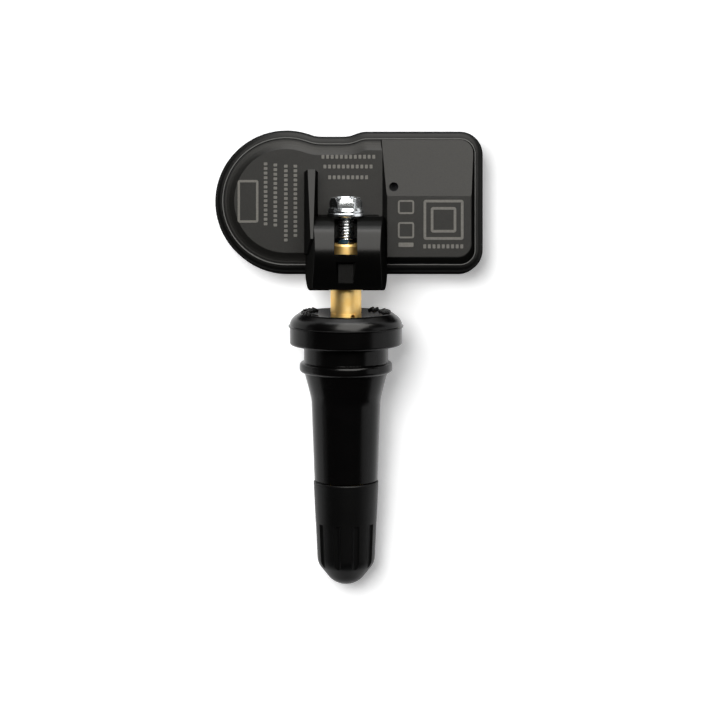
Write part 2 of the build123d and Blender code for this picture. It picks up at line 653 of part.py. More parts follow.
def battery_tab_upper():
    """The welded strip between the cell's cap and the board."""
    half = TAB_WIDTH / 2
    low = (LOBE_X - half, LOBE_Y - half, BOARD_BASE - TAB_THICKNESS)
    return block(low, (LOBE_X + CELL_RADIUS, LOBE_Y + half, BOARD_BASE))


def battery_tab_lower():
    """The welded strip under the cell's can, turned up at its end to the board."""
    half = TAB_WIDTH / 2
    end = LOBE_X + CELL_RADIUS + TAB_REACH
    strip = block((LOBE_X - half, LOBE_Y - half, COVER_THICKNESS), (end, LOBE_Y + half, CELL_BASE))
    leg_low = (end - TAB_THICKNESS, LOBE_Y - half, COVER_THICKNESS)
    return strip + block(leg_low, (end, LOBE_Y + half, BOARD_BASE))


def sensor_chip():
    """The pressure chip, with its port under the vent."""
    middle = Pos(VENT_X + CHIP_PORT_OFFSET, VENT_Y, BOARD_TOP + CHIP_HEIGHT / 2)
    body = middle * Box(CHIP_SIZE, CHIP_SIZE, CHIP_HEIGHT)
    return body - upright(VENT_X, VENT_Y, CHIP_TOP - CHIP_PORT_DEPTH, 2 * CHIP_TOP, CHIP_PORT_RADIUS)


def vent_seal():
    """The soft ring that seals the chip's port to the housing's vent."""
    place = (VENT_X, VENT_Y, CHIP_TOP, VENT_BOSS_BASE)
    return upright(*place, VENT_SEAL_RADIUS) - upright(*place, VENT_RADIUS)


def coil_core():
    """The ferrite core of the wake-up coil: a bar between two square flanges."""
    bar = Box(COIL_LENGTH, COIL_BAR, COIL_BAR)
    flange_x = (COIL_LENGTH - COIL_FLANGE_LENGTH) / 2
    for side in (-flange_x, flange_x):
        bar += Pos(side, 0, 0) * Box(COIL_FLANGE_LENGTH, COIL_FLANGE, COIL_FLANGE)
    return Pos(*COIL_PLACE) * bar


def coil_winding():
    """The winding that fills the core between its flanges."""
    length = COIL_LENGTH - 2 * COIL_FLANGE_LENGTH
    wound = Box(length, WINDING_SIZE, WINDING_SIZE)
    wound = fillet(wound.edges().filter_by(Axis.X), WIRE_ROUND)
    wound -= Box(length, COIL_BAR, COIL_BAR)
    return Pos(*COIL_PLACE) * wound


def crystal():
    """The crystal in its low metal can."""
    can = Box(CRYSTAL_LENGTH, CRYSTAL_WIDTH, CRYSTAL_HEIGHT)
    can = fillet(can.edges().filter_by(Axis.Z), CRYSTAL_ROUND)
    return Pos(RIGHT_X - CRYSTAL_INSET, PIVOT_Y + CRYSTAL_Y, BOARD_TOP + CRYSTAL_HEIGHT / 2) * can


def antenna():
    """The stamped loop antenna, a low arch along the board's right edge."""
    half = ANTENNA_LENGTH / 2
    inner_half = half - ANTENNA_STRIP
    inner_top = ANTENNA_HEIGHT - ANTENNA_STRIP
    arch = polygon(
        (-half, 0),
        (-half, ANTENNA_HEIGHT),
        (half, ANTENNA_HEIGHT),
        (half, 0),
        (inner_half, 0),
        (inner_half, inner_top),
        (-inner_half, inner_top),
        (-inner_half, 0),
    )
    strip = extrude(Plane.YZ * arch, amount=ANTENNA_WIDTH / 2, both=True)
    return Pos(RIGHT_X - ANTENNA_INSET, PIVOT_Y + ANTENNA_Y, BOARD_TOP) * strip


def chip_capacitors():
    """A row of small capacitors along the back of the board."""
    pieces = []
    for index in range(CAPACITOR_COUNT):
        x = LOBE_X + index * CAPACITOR_PITCH
        place = Pos(x, BACK_Y - CAPACITOR_INSET, BOARD_TOP + CAPACITOR_WIDTH / 2)
        pieces.append(place * Box(CAPACITOR_WIDTH, CAPACITOR_LENGTH, CAPACITOR_WIDTH))
    return Compound(children=pieces)


def stem_blank():
    """The brass stem's outer form, with the barbs that the rubber is moulded over."""
    blank = turned(
        (0, STEM_INNER_END),
        (STEM_RADIUS - STEM_END_CHAMFER, STEM_INNER_END),
        (STEM_RADIUS, STEM_INNER_END + STEM_END_CHAMFER),
        (STEM_RADIUS, STEM_SHANK_START),
        (STEM_SHANK_RADIUS, STEM_SHANK_START),
        (STEM_SHANK_RADIUS, STEM_SHOULDER),
        (STEM_THREAD_RADIUS, STEM_SHOULDER + STEM_THREAD_RADIUS - STEM_SHANK_RADIUS),
        (STEM_THREAD_RADIUS, STEM_TIP - STEM_THREAD_CHAMFER),
        (STEM_THREAD_RADIUS - STEM_THREAD_CHAMFER, STEM_TIP),
        (0, STEM_TIP),
    )
    for index in range(BARB_COUNT):
        start = FLANGE_END + BARB_INSET + index * BARB_PITCH
        end = start + BARB_LENGTH
        ridge = STEM_SHANK_RADIUS + BARB_HEIGHT
        blank += turned((0, start), (ridge, start), (STEM_SHANK_RADIUS, end), (0, end))
    groove_floor = STEM_RADIUS - STEM_GROOVE_DEPTH
    return blank - turned(
        (groove_floor, STEM_GROOVE),
        (STEM_SHANK_RADIUS, STEM_GROOVE),
        (STEM_SHANK_RADIUS, STEM_GROOVE + STEM_GROOVE_WIDTH),
        (groove_floor, STEM_GROOVE + STEM_GROOVE_WIDTH),
    )


def brass_stem():
    """The brass stem: a blind hole for the clamp screw, a side inlet and the valve core's bore."""
    hole_radius = SCREW_RADIUS + SCREW_HOLE_GAP
    hole = turned(
        (0, STEM_INNER_END),
        (hole_radius, STEM_INNER_END),
        (hole_radius, SCREW_HOLE_END),
        (0, SCREW_HOLE_END + hole_radius / 2),
    )
    bore = turned(
        (0, AIR_BORE_START),
        (AIR_BORE_RADIUS, AIR_BORE_START),
        (AIR_BORE_RADIUS, CORE_CHAMBER_START),
        (CORE_CHAMBER_RADIUS, CORE_CHAMBER_START),
        (CORE_CHAMBER_RADIUS, CORE_SEAT_START),
        (CORE_SEAT_RADIUS, CORE_SEAT_START + CORE_SEAT_LENGTH),
        (CORE_MOUTH_RADIUS, CORE_SEAT_START + CORE_SEAT_LENGTH),
        (CORE_MOUTH_RADIUS, STEM_TIP),
        (0, STEM_TIP),
    )
    inlet = Pos(0, 0, -STEM_RADIUS) * Cylinder(AIR_INLET_RADIUS, 2 * STEM_RADIUS)
    inlet = Pos(0, AIR_INLET_STATION, 0) * Rot(0, -AIR_INLET_ANGLE, 0) * inlet
    return VALVE_FRAME * (stem_blank() - hole - bore - inlet)


def rubber_body():
    """The snap-in rubber: sealing flange, neck that sits in the rim, snap bead and tapered sleeve."""
    dish = (STEM_RADIUS + FLANGE_DISH_MARGIN, FLANGE_DISH)
    crest = (FLANGE_CREST_RADIUS, FLANGE_CREST)
    shoulder = (FLANGE_RADIUS, FLANGE_CREST + FLANGE_SHOULDER_DROP)
    rubber = turned(
        (0, FLANGE_DISH),
        dish,
        crest,
        shoulder,
        (FLANGE_RADIUS, FLANGE_END),
        (NECK_RADIUS, FLANGE_END),
        (NECK_RADIUS, SNAP_BEAD_START),
        (SNAP_BEAD_RADIUS, SNAP_BEAD_START),
        (SNAP_BEAD_RADIUS, SNAP_BEAD_END),
        (TAPER_START_RADIUS, TAPER_START),
        (TAPER_END_RADIUS, TAPER_END),
        (SLEEVE_END_RADIUS, SLEEVE_END),
        (0, SLEEVE_END),
        rounds=[
            (dish, FLANGE_END_ROUND),
            (crest, FLANGE_CREST_ROUND),
            (shoulder, FLANGE_SHOULDER_ROUND),
            ((FLANGE_RADIUS, FLANGE_END), FLANGE_END_ROUND),
            ((NECK_RADIUS, FLANGE_END), NECK_ROUND),
            ((NECK_RADIUS, SNAP_BEAD_START), SNAP_BEAD_FOOT_ROUND),
            ((SNAP_BEAD_RADIUS, SNAP_BEAD_START), SNAP_BEAD_ROUND),
            ((SNAP_BEAD_RADIUS, SNAP_BEAD_END), SNAP_BEAD_ROUND),
            ((TAPER_END_RADIUS, TAPER_END), TAPER_ROUND),
        ],
    )
    flash = turned(
        (FLANGE_RADIUS - FLASH_HEIGHT, FLASH_STATION - FLASH_WIDTH),
        (FLANGE_RADIUS + FLASH_HEIGHT, FLASH_STATION - FLASH_WIDTH / 4),
        (FLANGE_RADIUS + FLASH_HEIGHT, FLASH_STATION + FLASH_WIDTH / 4),
        (FLANGE_RADIUS - FLASH_HEIGHT, FLASH_STATION + FLASH_WIDTH),
    )
    return VALVE_FRAME * (rubber + flash - stem_blank())


def screw_washer():
    """The washer under the screw's head, which bears on the round back of the hood."""
    hole = SCREW_RADIUS + WASHER_HOLE_GAP
    return VALVE_FRAME * turned(
        (hole, SCREW_SEAT),
        (WASHER_RADIUS - WASHER_CHAMFER, SCREW_SEAT),
        (WASHER_RADIUS, SCREW_SEAT + WASHER_CHAMFER),
        (WASHER_RADIUS, WASHER_SEAT - WASHER_CHAMFER),
        (WASHER_RADIUS - WASHER_CHAMFER, WASHER_SEAT),
        (hole, WASHER_SEAT),
    )


def clamp_screw():
    """The flanged hexagon screw that clamps the stem in the hood."""
    edge = SCREW_SEAT - SCREW_FLANGE_EDGE
    cone = edge - SCREW_FLANGE_CONE
    top = cone - HEX_HEIGHT
    hex_radius = HEX_ACROSS_FLATS / 2 / cos(radians(30))
    shank = turned(
        (0, SCREW_END),
        (SCREW_RADIUS - SCREW_POINT, SCREW_END),
        (SCREW_RADIUS, SCREW_END - SCREW_POINT),
        (SCREW_RADIUS, SCREW_SEAT),
        (SCREW_FLANGE_RADIUS, SCREW_SEAT),
        (SCREW_FLANGE_RADIUS, edge),
        (HEX_ACROSS_FLATS / 2, cone),
        (0, cone),
    )
    hexagon = extrude(Plane.XZ * RegularPolygon(hex_radius, 6), amount=edge - top)
    crown = turned(
        (0, top),
        (hex_radius - HEX_CHAMFER * 2, top),
        (hex_radius, top + HEX_CHAMFER),
        (hex_radius, SCREW_SEAT),
        (0, SCREW_SEAT),
    )
    head = (Pos(0, edge, 0) * hexagon) & crown
    return VALVE_FRAME * (shank + head)


def core_body():
    """The valve core's fixed body: barrel, neck for the gasket and threaded plug, bored for the pin."""
    plug_start = CORE_SEAT_START + CORE_SEAT_LENGTH
    body = turned(
        (0, CORE_BARREL_END),
        (CORE_BARREL_RADIUS, CORE_BARREL_END),
        (CORE_BARREL_RADIUS, CORE_SEAT_START),
        (CORE_NECK_RADIUS, CORE_SEAT_START),
        (CORE_NECK_RADIUS, plug_start),
        (CORE_PLUG_RADIUS, plug_start),
        (CORE_PLUG_RADIUS, CORE_PLUG_END),
        (0, CORE_PLUG_END),
    )
    hollow = turned(
        (0, CORE_BARREL_END),
        (CORE_GUIDE_RADIUS, CORE_BARREL_END),
        (CORE_GUIDE_RADIUS, CORE_SPRING_BORE_START),
        (CORE_SPRING_BORE, CORE_SPRING_BORE_START),
        (CORE_SPRING_BORE, CORE_SPRING_BORE_END),
        (CORE_GUIDE_RADIUS, CORE_SPRING_BORE_END),
        (CORE_GUIDE_RADIUS, CORE_PLUG_END),
        (0, CORE_PLUG_END),
    )
    return VALVE_FRAME * (body - hollow)


def core_gasket():
    """The tapered ring that seals the core in the stem's seat."""
    end = CORE_SEAT_START + CORE_SEAT_LENGTH
    return VALVE_FRAME * turned(
        (CORE_NECK_RADIUS + CORE_GASKET_GAP, CORE_SEAT_START),
        (CORE_CHAMBER_RADIUS - CORE_GASKET_GAP, CORE_SEAT_START),
        (CORE_SEAT_RADIUS - CORE_GASKET_GAP, end),
        (CORE_NECK_RADIUS + CORE_GASKET_GAP, end),
    )


def core_pin():
    """The pin that opens the valve, with the collar its spring pushes on and the foot that holds its seal."""
    foot_start = CORE_BARREL_END - PIN_SEAL_LENGTH - PIN_FOOT_LENGTH
    collar_end = PIN_COLLAR_START + PIN_COLLAR_LENGTH
    return VALVE_FRAME * turned(
        (0, foot_start),
        (PIN_FOOT_RADIUS, foot_start),
        (PIN_FOOT_RADIUS, foot_start + PIN_FOOT_LENGTH),
        (PIN_RADIUS, foot_start + PIN_FOOT_LENGTH),
        (PIN_RADIUS, PIN_COLLAR_START),
        (PIN_COLLAR_RADIUS, PIN_COLLAR_START),
        (PIN_COLLAR_RADIUS, collar_end),
        (PIN_RADIUS, collar_end),
        (PIN_RADIUS, PIN_TIP),
        (0, PIN_TIP),
    )


def core_pin_seal():
    """The rubber ring on the pin's foot that closes the barrel's end."""
    start = CORE_BARREL_END - PIN_SEAL_LENGTH
    return VALVE_FRAME * turned(
        (PIN_RADIUS, start),
        (PIN_SEAL_RADIUS, start),
        (PIN_SEAL_RADIUS, CORE_BARREL_END),
        (PIN_RADIUS, CORE_BARREL_END),
    )


def core_spring():
    """The coil spring that holds the pin shut."""
    start = CORE_SPRING_BORE_START + SPRING_WIRE_RADIUS
    height = PIN_COLLAR_START - SPRING_WIRE_RADIUS - start
    path = Helix(pitch=height / SPRING_TURNS, height=height, radius=SPRING_RADIUS)
    wire = Plane(origin=path @ 0, z_dir=path % 0) * Circle(SPRING_WIRE_RADIUS)
    coil = sweep(wire, path=path)
    return VALVE_FRAME * (Pos(0, start, 0) * Rot(-90, 0, 0) * coil)


def cap():
    """The dust cap: a tapered sleeve with a domed end, fluted for the fingers and bored for the stem."""
    shoulder = (CAP_SHOULDER_RADIUS, CAP_SHOULDER)
    cone = (CAP_CONE_RADIUS, CAP_CONE_STATION)
    half_angle = radians(CAP_TIP_ANGLE / 2)
    crown = (CAP_TIP_RADIUS * sin(half_angle), CAP_TIP_CENTRE + CAP_TIP_RADIUS * cos(half_angle))
    edges = [
        Line((0, CAP_RIM), (CAP_RIM_RADIUS, CAP_RIM)),
        Line((CAP_RIM_RADIUS, CAP_RIM), shoulder),
        Line(shoulder, cone),
        ThreePointArc(cone, crown, (0, CAP_TIP)),
        Line((0, CAP_TIP), (0, CAP_RIM)),
    ]
    rounds = [((CAP_RIM_RADIUS, CAP_RIM), CAP_RIM_ROUND), (shoulder, CAP_SHOULDER_ROUND)]
    body = revolve(rounded(Sketch() + make_face(edges), rounds), axis=Axis.Y)
    bore = turned(
        (0, CAP_RIM),
        (CAP_COUNTERBORE_RADIUS, CAP_RIM),
        (CAP_COUNTERBORE_RADIUS, CAP_COUNTERBORE_END),
        (CAP_BORE_RADIUS, CAP_COUNTERBORE_END),
        (CAP_BORE_RADIUS, CAP_BORE_END),
        (0, CAP_BORE_END),
    )
    body = body - bore
    lean = (CAP_SHOULDER_RADIUS - CAP_RIM_RADIUS) / (CAP_SHOULDER - CAP_RIM)
    start_radius = CAP_RIM_RADIUS + lean * (FLUTE_START - CAP_RIM) - FLUTE_DEPTH + FLUTE_RADIUS
    end_radius = CAP_RIM_RADIUS + lean * (FLUTE_END - CAP_RIM) - FLUTE_DEPTH + FLUTE_RADIUS
    sections = [
        Plane.XZ.offset(-FLUTE_START) * Pos(0, start_radius) * Circle(FLUTE_RADIUS),
        Plane.XZ.offset(-FLUTE_END) * Pos(0, end_radius) * Circle(FLUTE_RADIUS),
    ]
    flute = loft(sections, ruled=True)
    for index in range(FLUTE_COUNT):
        body -= Rot(0, FLUTE_TURN + 360 / FLUTE_COUNT * index, 0) * flute
    return VALVE_FRAME * body


def cap_seal():
    """The rubber disc in the cap's end that closes on the stem's tip."""
    return VALVE_FRAME * turned(
        (0, CAP_SEAL_START),
        (CAP_SEAL_RADIUS, CAP_SEAL_START),
        (CAP_SEAL_RADIUS, CAP_BORE_END),
        (0, CAP_BORE_END),
    )


PIECES = (
    housing,
    base_cover,
    circuit_board,
    battery,
    battery_tab_upper,
    battery_tab_lower,
    sensor_chip,
    vent_seal,
    coil_core,
    coil_winding,
    crystal,
    antenna,
    chip_capacitors,
    brass_stem,
    rubber_body,
    screw_washer,
    clamp_screw,
    core_body,
    core_gasket,
    core_pin,
    core_pin_seal,
    core_spring,
    cap,
    cap_seal,
)

os.makedirs("parts", exist_ok=True)
for piece in PIECES:
    export_step(piece(), f"parts/{piece.__name__}.step")
print(f"pivot at {STEM_X:.4f}, {PIVOT_Y:.4f}, {PIVOT_Z:.4f}")
print(f"valve axis 0, {-TILT_COS:.6f}, {-TILT_SIN:.6f}, tilted {degrees(LYING_TILT):.3f} degrees")
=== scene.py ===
# %% [markdown]
# # A tyre pressure sensor on a snap-in valve
# A flat nylon box holds a coin cell, a circuit board and a pressure chip. A round hood on the box clamps
# a brass stem, and the stem is moulded into a black rubber valve that snaps into the wheel's rim.
# The solids come from the imported model, so this file adds what solids leave out: the finishes, the screw
# threads, a coil spring, the moulded ribs, the marked fields, the light and the camera.

# %% [markdown]
# ## The imported model
# Every solid is already in its place, in metres, with +Z up out of the printed face and +Y towards the
# back of the box. The box round the solids is kept.

import json
from math import cos, pi, radians, sqrt

import bmesh
import bpy
from mathutils import Matrix, Vector


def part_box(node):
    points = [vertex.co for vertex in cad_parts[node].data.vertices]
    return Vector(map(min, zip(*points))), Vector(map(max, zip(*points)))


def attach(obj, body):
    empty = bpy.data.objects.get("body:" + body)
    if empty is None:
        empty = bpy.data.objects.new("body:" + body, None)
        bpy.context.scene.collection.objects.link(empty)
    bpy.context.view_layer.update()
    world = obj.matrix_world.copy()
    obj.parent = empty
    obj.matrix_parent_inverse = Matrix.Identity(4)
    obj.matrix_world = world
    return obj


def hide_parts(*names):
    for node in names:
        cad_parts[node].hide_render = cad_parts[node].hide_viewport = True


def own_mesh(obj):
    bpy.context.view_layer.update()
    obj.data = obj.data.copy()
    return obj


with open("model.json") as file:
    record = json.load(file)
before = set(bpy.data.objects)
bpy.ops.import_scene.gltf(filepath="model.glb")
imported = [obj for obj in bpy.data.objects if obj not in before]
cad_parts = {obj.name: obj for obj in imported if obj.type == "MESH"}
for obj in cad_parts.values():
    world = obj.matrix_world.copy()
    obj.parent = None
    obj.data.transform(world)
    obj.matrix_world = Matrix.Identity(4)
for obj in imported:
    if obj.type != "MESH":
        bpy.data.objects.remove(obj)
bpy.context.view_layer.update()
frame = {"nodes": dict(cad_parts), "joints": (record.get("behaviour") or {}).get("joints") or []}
bpy.ops.object.select_all(action="DESELECT")
MM = 0.001

# %% [markdown]
# ## The valve's own axis
# The valve lies tilted, so pieces on it are modelled upright at the origin and then laid along its axis.
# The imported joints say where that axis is: the tilt hinge gives the pivot, and the cap turns about the
# axis itself. Distances along it are stations, counted from the pivot and positive towards the cap.

# %% The pivot and the axis
joints = {joint["name"]: joint for joint in frame["joints"]}
PIVOT = Vector(joints["stem_tilt"]["pos_m"])
TO_CAP = Vector(joints["cap_turn"]["axis"]).normalized()
TO_HEAD = -TO_CAP
SIDEWAYS = Vector((1, 0, 0))


def standing_on(direction):
    """The placing matrix that stands a piece modelled along Z on the pivot, pointing along a direction."""
    forward = direction.cross(SIDEWAYS)
    turn = Matrix((SIDEWAYS, forward, direction)).transposed()
    return Matrix.Translation(PIVOT) @ turn.to_4x4()


print("pivot in mm:", [round(value / MM, 2) for value in PIVOT])
print("axis:", [round(value, 4) for value in TO_CAP])

# %% [markdown]
# ## The camera
# The photo looks straight down on the part from a good distance, with the cap at the bottom of the
# picture. A long lens at that distance keeps the sides of the box nearly upright, as they are there.

# %% Camera straight above
CAMERA_HEIGHT = 392 * MM
CAMERA_X = PIVOT.x + 2.42 * MM
CAMERA_Y = PIVOT.y - 18.285 * MM
SENSOR_WIDTH = 36
FOCAL_LENGTH = 110.6
NEAREST_SEEN = 0.01
bpy.ops.object.camera_add(location=(CAMERA_X, CAMERA_Y, CAMERA_HEIGHT), rotation=(0, 0, 0))
camera = bpy.context.object
camera.data.sensor_width = SENSOR_WIDTH
camera.data.lens = FOCAL_LENGTH
camera.data.clip_start = NEAREST_SEEN
bpy.context.scene.camera = camera
bpy.context.scene.view_settings.view_transform = "Standard"
print("camera:", camera.name, "lens:", round(camera.data.lens, 1))

# %% [markdown]
# ## Colours and nodes
# Colours are easiest to pick as the hex values of a paint program, which are sRGB. Shaders work with linear
# light, so one function converts them. A second one adds a node, sets its options, and fills its inputs
# with numbers or with links from other nodes. A third starts a new material.

# %% Three helpers for materials


def linear(hex_colour):
    """A linear colour with alpha from an sRGB hex value such as '#c9a24e'."""
    parts = [int(hex_colour[i : i + 2], 16) / 255 for i in (1, 3, 5)]
    return [part / 12.92 if part <= 0.04045 else ((part + 0.055) / 1.055) ** 2.4 for part in parts] + [1.0]


def add(tree, kind, inputs=None, **settings):
    """Adds a node. An input is a value to set or an output to link from."""
    node = tree.nodes.new(kind)
    for name, value in settings.items():
        setattr(node, name, value)
    for name, value in (inputs or {}).items():
        if isinstance(value, bpy.types.NodeSocket):
            tree.links.new(value, node.inputs[name])
        else:
            node.inputs[name].default_value = value
    return node


def new_finish(name):
    """A new material, with its node tree and its shader."""
    material = bpy.data.materials.new(name)
    material.use_nodes = True
    return material, material.node_tree, material.node_tree.nodes["Principled BSDF"]


print("deep black reads as", [round(part, 4) for part in linear("#111112")])

# %% [markdown]
# ## The table and the light
# The part lies on white paper. A key lamp high up, a little to the back left, lights the paper and leaves a
# short shadow at the front right. A glossy black part shows little of that lamp: what draws its shape is
# what it mirrors. So a wide softbox over the back, and low panels at the back and at each side, are there
# for the reflections only, and the key stays out of them.
# The paper glows a little towards the camera and into reflections. That makes it white without putting more
# light on the part, and its own shade still shows. The glow grows with the distance from the part, because
# the key lights the far paper less.

# %% White paper
PAPER_SIZE = 40
PAPER_DROP = 0.02 * MM
FIBRE_SIZE = 0.8 * MM
bpy.ops.mesh.primitive_plane_add(size=PAPER_SIZE, location=(0, 0, -PAPER_DROP))
paper = bpy.context.object
paper.name = "paper"
paper_white, tree, shader = new_finish("white_paper")
tree.nodes.remove(shader)
coords = add(tree, "ShaderNodeTexCoord")
fibres = add(
    tree, "ShaderNodeTexNoise", {"Vector": coords.outputs["Object"], "Scale": 1 / FIBRE_SIZE, "Detail": 2.0}
)
tone = add(
    tree,
    "ShaderNodeMix",
    {0: fibres.outputs[0], 6: linear("#f4f4f4"), 7: linear("#f8f8f8")},
    data_type="RGBA",
)
lit = add(tree, "ShaderNodeBsdfDiffuse", {"Color": tone.outputs[2]})
paper.data.materials.append(paper_white)
print("paper:", [round(side, 2) for side in paper.dimensions])

# %% The paper's glow
GLOW_NEAR = 0.36
GLOW_FAR = 1.0
GLOW_START = 0.10
GLOW_FULL = 1.30
ray = add(tree, "ShaderNodeLightPath")
seen = add(
    tree,
    "ShaderNodeMath",
    {0: ray.outputs["Is Camera Ray"], 1: ray.outputs["Is Glossy Ray"]},
    operation="MAXIMUM",
)
seen = add(
    tree, "ShaderNodeMath", {0: seen.outputs[0], 1: ray.outputs["Is Transmission Ray"]}, operation="MAXIMUM"
)
distance = add(tree, "ShaderNodeVectorMath", {0: coords.outputs["Object"]}, operation="LENGTH")
level = add(
    tree,
    "ShaderNodeMapRange",
    {
        "Value": distance.outputs["Value"],
        "From Min": GLOW_START,
        "From Max": GLOW_FULL,
        "To Min": GLOW_NEAR,
        "To Max": GLOW_FAR,
    },
)
glow = add(tree, "ShaderNodeMath", {0: seen.outputs[0], 1: level.outputs[0]}, operation="MULTIPLY")
glowing = add(tree, "ShaderNodeEmission", {"Strength": glow.outputs[0]})
both = add(tree, "ShaderNodeAddShader", {0: lit.outputs[0], 1: glowing.outputs[0]})
tree.links.new(both.outputs[0], tree.nodes["Material Output"].inputs["Surface"])
print("finish:", paper_white.name)

# %% Key, softbox and low panels
LAMP_DISTANCE = 0.80
# name: direction from the part, width and height in metres, brightness, gives light, shows in reflections
LAMPS = {
    "key": ((-0.25, 0.25, 0.935), 0.40, 0.40, 12.5, True, False),
    "softbox": ((0.18, 0.660, 0.751), 0.72, 1.07, 9.2, False, True),
    "back_panel": ((0, 0.988, 0.156), 0.68, 0.36, 5.0, False, True),
    "right_panel": ((0.966, 0, 0.260), 0.60, 0.56, 1.2, False, True),
    "left_panel": ((-0.991, 0, 0.131), 0.60, 0.30, 0.36, False, True),
}
for name, (direction, width, height, brightness, lights, mirrored) in LAMPS.items():
    # Each looks at the middle of the part, and its power is worked out from how bright it looks.
    towards = Vector(direction).normalized()
    turn = towards.to_track_quat("Z", "Y").to_euler()
    bpy.ops.object.light_add(type="AREA", location=towards * LAMP_DISTANCE, rotation=turn)
    lamp = bpy.context.object
    lamp.name = name
    lamp.data.shape = "RECTANGLE"
    lamp.data.size = width
    lamp.data.size_y = height
    lamp.data.energy = brightness * pi * width * height
    lamp.visible_diffuse = lights
    lamp.visible_glossy = mirrored
    print("lamp:", name, "power:", round(lamp.data.energy, 2))
bpy.data.objects["softbox"].data.color = linear("#fffdf8")[:3]

# %% The dim room
ROOM_STRENGTH = 0.03
room = bpy.context.scene.world or bpy.data.worlds.new("room")
bpy.context.scene.world = room
room.use_nodes = True
background = room.node_tree.nodes["Background"]
background.inputs["Color"].default_value = linear("#e8edf2")
background.inputs["Strength"].default_value = ROOM_STRENGTH
print("room strength:", ROOM_STRENGTH)

# %% [markdown]
# ## Nylon of the box
# The box is moulded in black nylon filled with glass fibre. The mould is spark-eroded where the box is
# marked, which gives those faces a matt grain, blasted for the rim and the walls, and polished for the hood.
# The flat top of the thin bead round the rim is painted pale, a painted highlight along it. Each is picked
# out by where it is and which way it looks, so one material serves the whole box.
# The photo's blacks are deep, so the black finishes mirror less than their plain materials would.

# %% Where the nylon is blasted and grained, and where the bead's highlight is painted
PANEL_TOP = PIVOT.z - 4.0 * MM
PLATEAU_TOP = PANEL_TOP + 1.6 * MM
RIM_TOP = PANEL_TOP - 0.65 * MM
BEAD_HEIGHT = 0.16 * MM
nylon, tree, shader = new_finish("moulded_glass_filled_nylon")
coords = add(tree, "ShaderNodeTexCoord")
place = add(tree, "ShaderNodeSeparateXYZ", {"Vector": coords.outputs["Object"]})
facing = add(tree, "ShaderNodeSeparateXYZ", {"Vector": coords.outputs["Normal"]})
# name: lowest and highest point of the band, and the least upward part of the normal
BANDS = {
    "blasted": (-1.0 * MM, RIM_TOP + 0.02 * MM, -1.1),
    "grained": (RIM_TOP + 0.02 * MM, PLATEAU_TOP + 0.3 * MM, 0.75),
    # The last band is the bead's flat top, where a painted highlight goes.
    "painted_bead_highlight": (RIM_TOP + 0.85 * BEAD_HEIGHT, RIM_TOP + 1.15 * BEAD_HEIGHT, 0.98),
}
masks = {}
for name, (low, high, least) in BANDS.items():
    above = add(tree, "ShaderNodeMath", {0: place.outputs["Z"], 1: low}, operation="GREATER_THAN")
    below = add(tree, "ShaderNodeMath", {0: place.outputs["Z"], 1: high}, operation="LESS_THAN")
    upward = add(tree, "ShaderNodeMath", {0: facing.outputs["Z"], 1: least}, operation="GREATER_THAN")
    band = add(tree, "ShaderNodeMath", {0: above.outputs[0], 1: below.outputs[0]}, operation="MULTIPLY")
    mask = add(tree, "ShaderNodeMath", {0: band.outputs[0], 1: upward.outputs[0]}, operation="MULTIPLY")
    masks[name] = mask.outputs[0]
print("bands of the nylon:", list(masks))

# %% Colours of the nylon
# Cooling leaves broad, faint changes of tone, and the glass shows as fine pale flecks. Real fibres are
# thinner than these flecks, which are as coarse as they need to be to show.
FLOW_SIZE = 6 * MM
FLECK_SIZE = 0.22 * MM
flow = add(
    tree, "ShaderNodeTexNoise", {"Vector": coords.outputs["Object"], "Scale": 1 / FLOW_SIZE, "Detail": 3.0}
)
fleck = add(
    tree, "ShaderNodeTexNoise", {"Vector": coords.outputs["Object"], "Scale": 1 / FLECK_SIZE, "Detail": 2.0}
)
plain = add(
    tree,
    "ShaderNodeMix",
    {0: flow.outputs[0], 6: linear("#050505"), 7: linear("#080807")},
    data_type="RGBA",
)
flecked = add(
    tree,
    "ShaderNodeMix",
    {0: fleck.outputs[0], 6: linear("#0b0b0a"), 7: linear("#1c1b19")},
    data_type="RGBA",
)
# The steep walls are scuffed by the mould as the box leaves it, so they are a shade paler and dull.
STEEP_START = 0.8
STEEP_FULL = 0.5
steep = add(
    tree,
    "ShaderNodeMapRange",
    {"Value": facing.outputs["Z"], "From Min": STEEP_START, "From Max": STEEP_FULL},
)
scuffed = add(
    tree,
    "ShaderNodeMix",
    {0: steep.outputs[0], 6: plain.outputs[2], 7: linear("#161615")},
    data_type="RGBA",
)
grained = add(
    tree,
    "ShaderNodeMix",
    {0: masks["grained"], 6: scuffed.outputs[2], 7: flecked.outputs[2]},
    data_type="RGBA",
)
# A pale colour painted on the bead's flat top: a painted highlight, not wear.
painted_bead_highlight = add(
    tree,
    "ShaderNodeMix",
    {0: masks["painted_bead_highlight"], 6: grained.outputs[2], 7: linear("#565654")},
    data_type="RGBA",
)
tree.links.new(painted_bead_highlight.outputs[2], shader.inputs["Base Color"])
print("flecks in mm:", FLECK_SIZE / MM)

# %% Gloss and relief of the nylon
BLACK_IOR = 1.25
BLASTED_ROUGHNESS = 0.42
GRAINED_ROUGHNESS = 0.45
GRAIN_DEPTH = 0.03 * MM
polished = add(tree, "ShaderNodeMapRange", {"Value": flow.outputs[0], "To Min": 0.19, "To Max": 0.25})
satin = add(
    tree,
    "ShaderNodeMix",
    {0: masks["blasted"], 2: polished.outputs[0], 3: BLASTED_ROUGHNESS},
    data_type="FLOAT",
)
matt = add(
    tree,
    "ShaderNodeMix",
    {0: masks["grained"], 2: satin.outputs[0], 3: GRAINED_ROUGHNESS},
    data_type="FLOAT",
)
shine = add(tree, "ShaderNodeMapRange", {"Value": masks["grained"], "To Min": 0.38, "To Max": 0.54})
dulled = add(
    tree,
    "ShaderNodeMapRange",
    {"Value": steep.outputs[0], "To Min": shine.outputs[0], "To Max": 0.0},
)
relief = add(tree, "ShaderNodeMapRange", {"Value": masks["grained"], "To Min": 0.03, "To Max": 0.4})
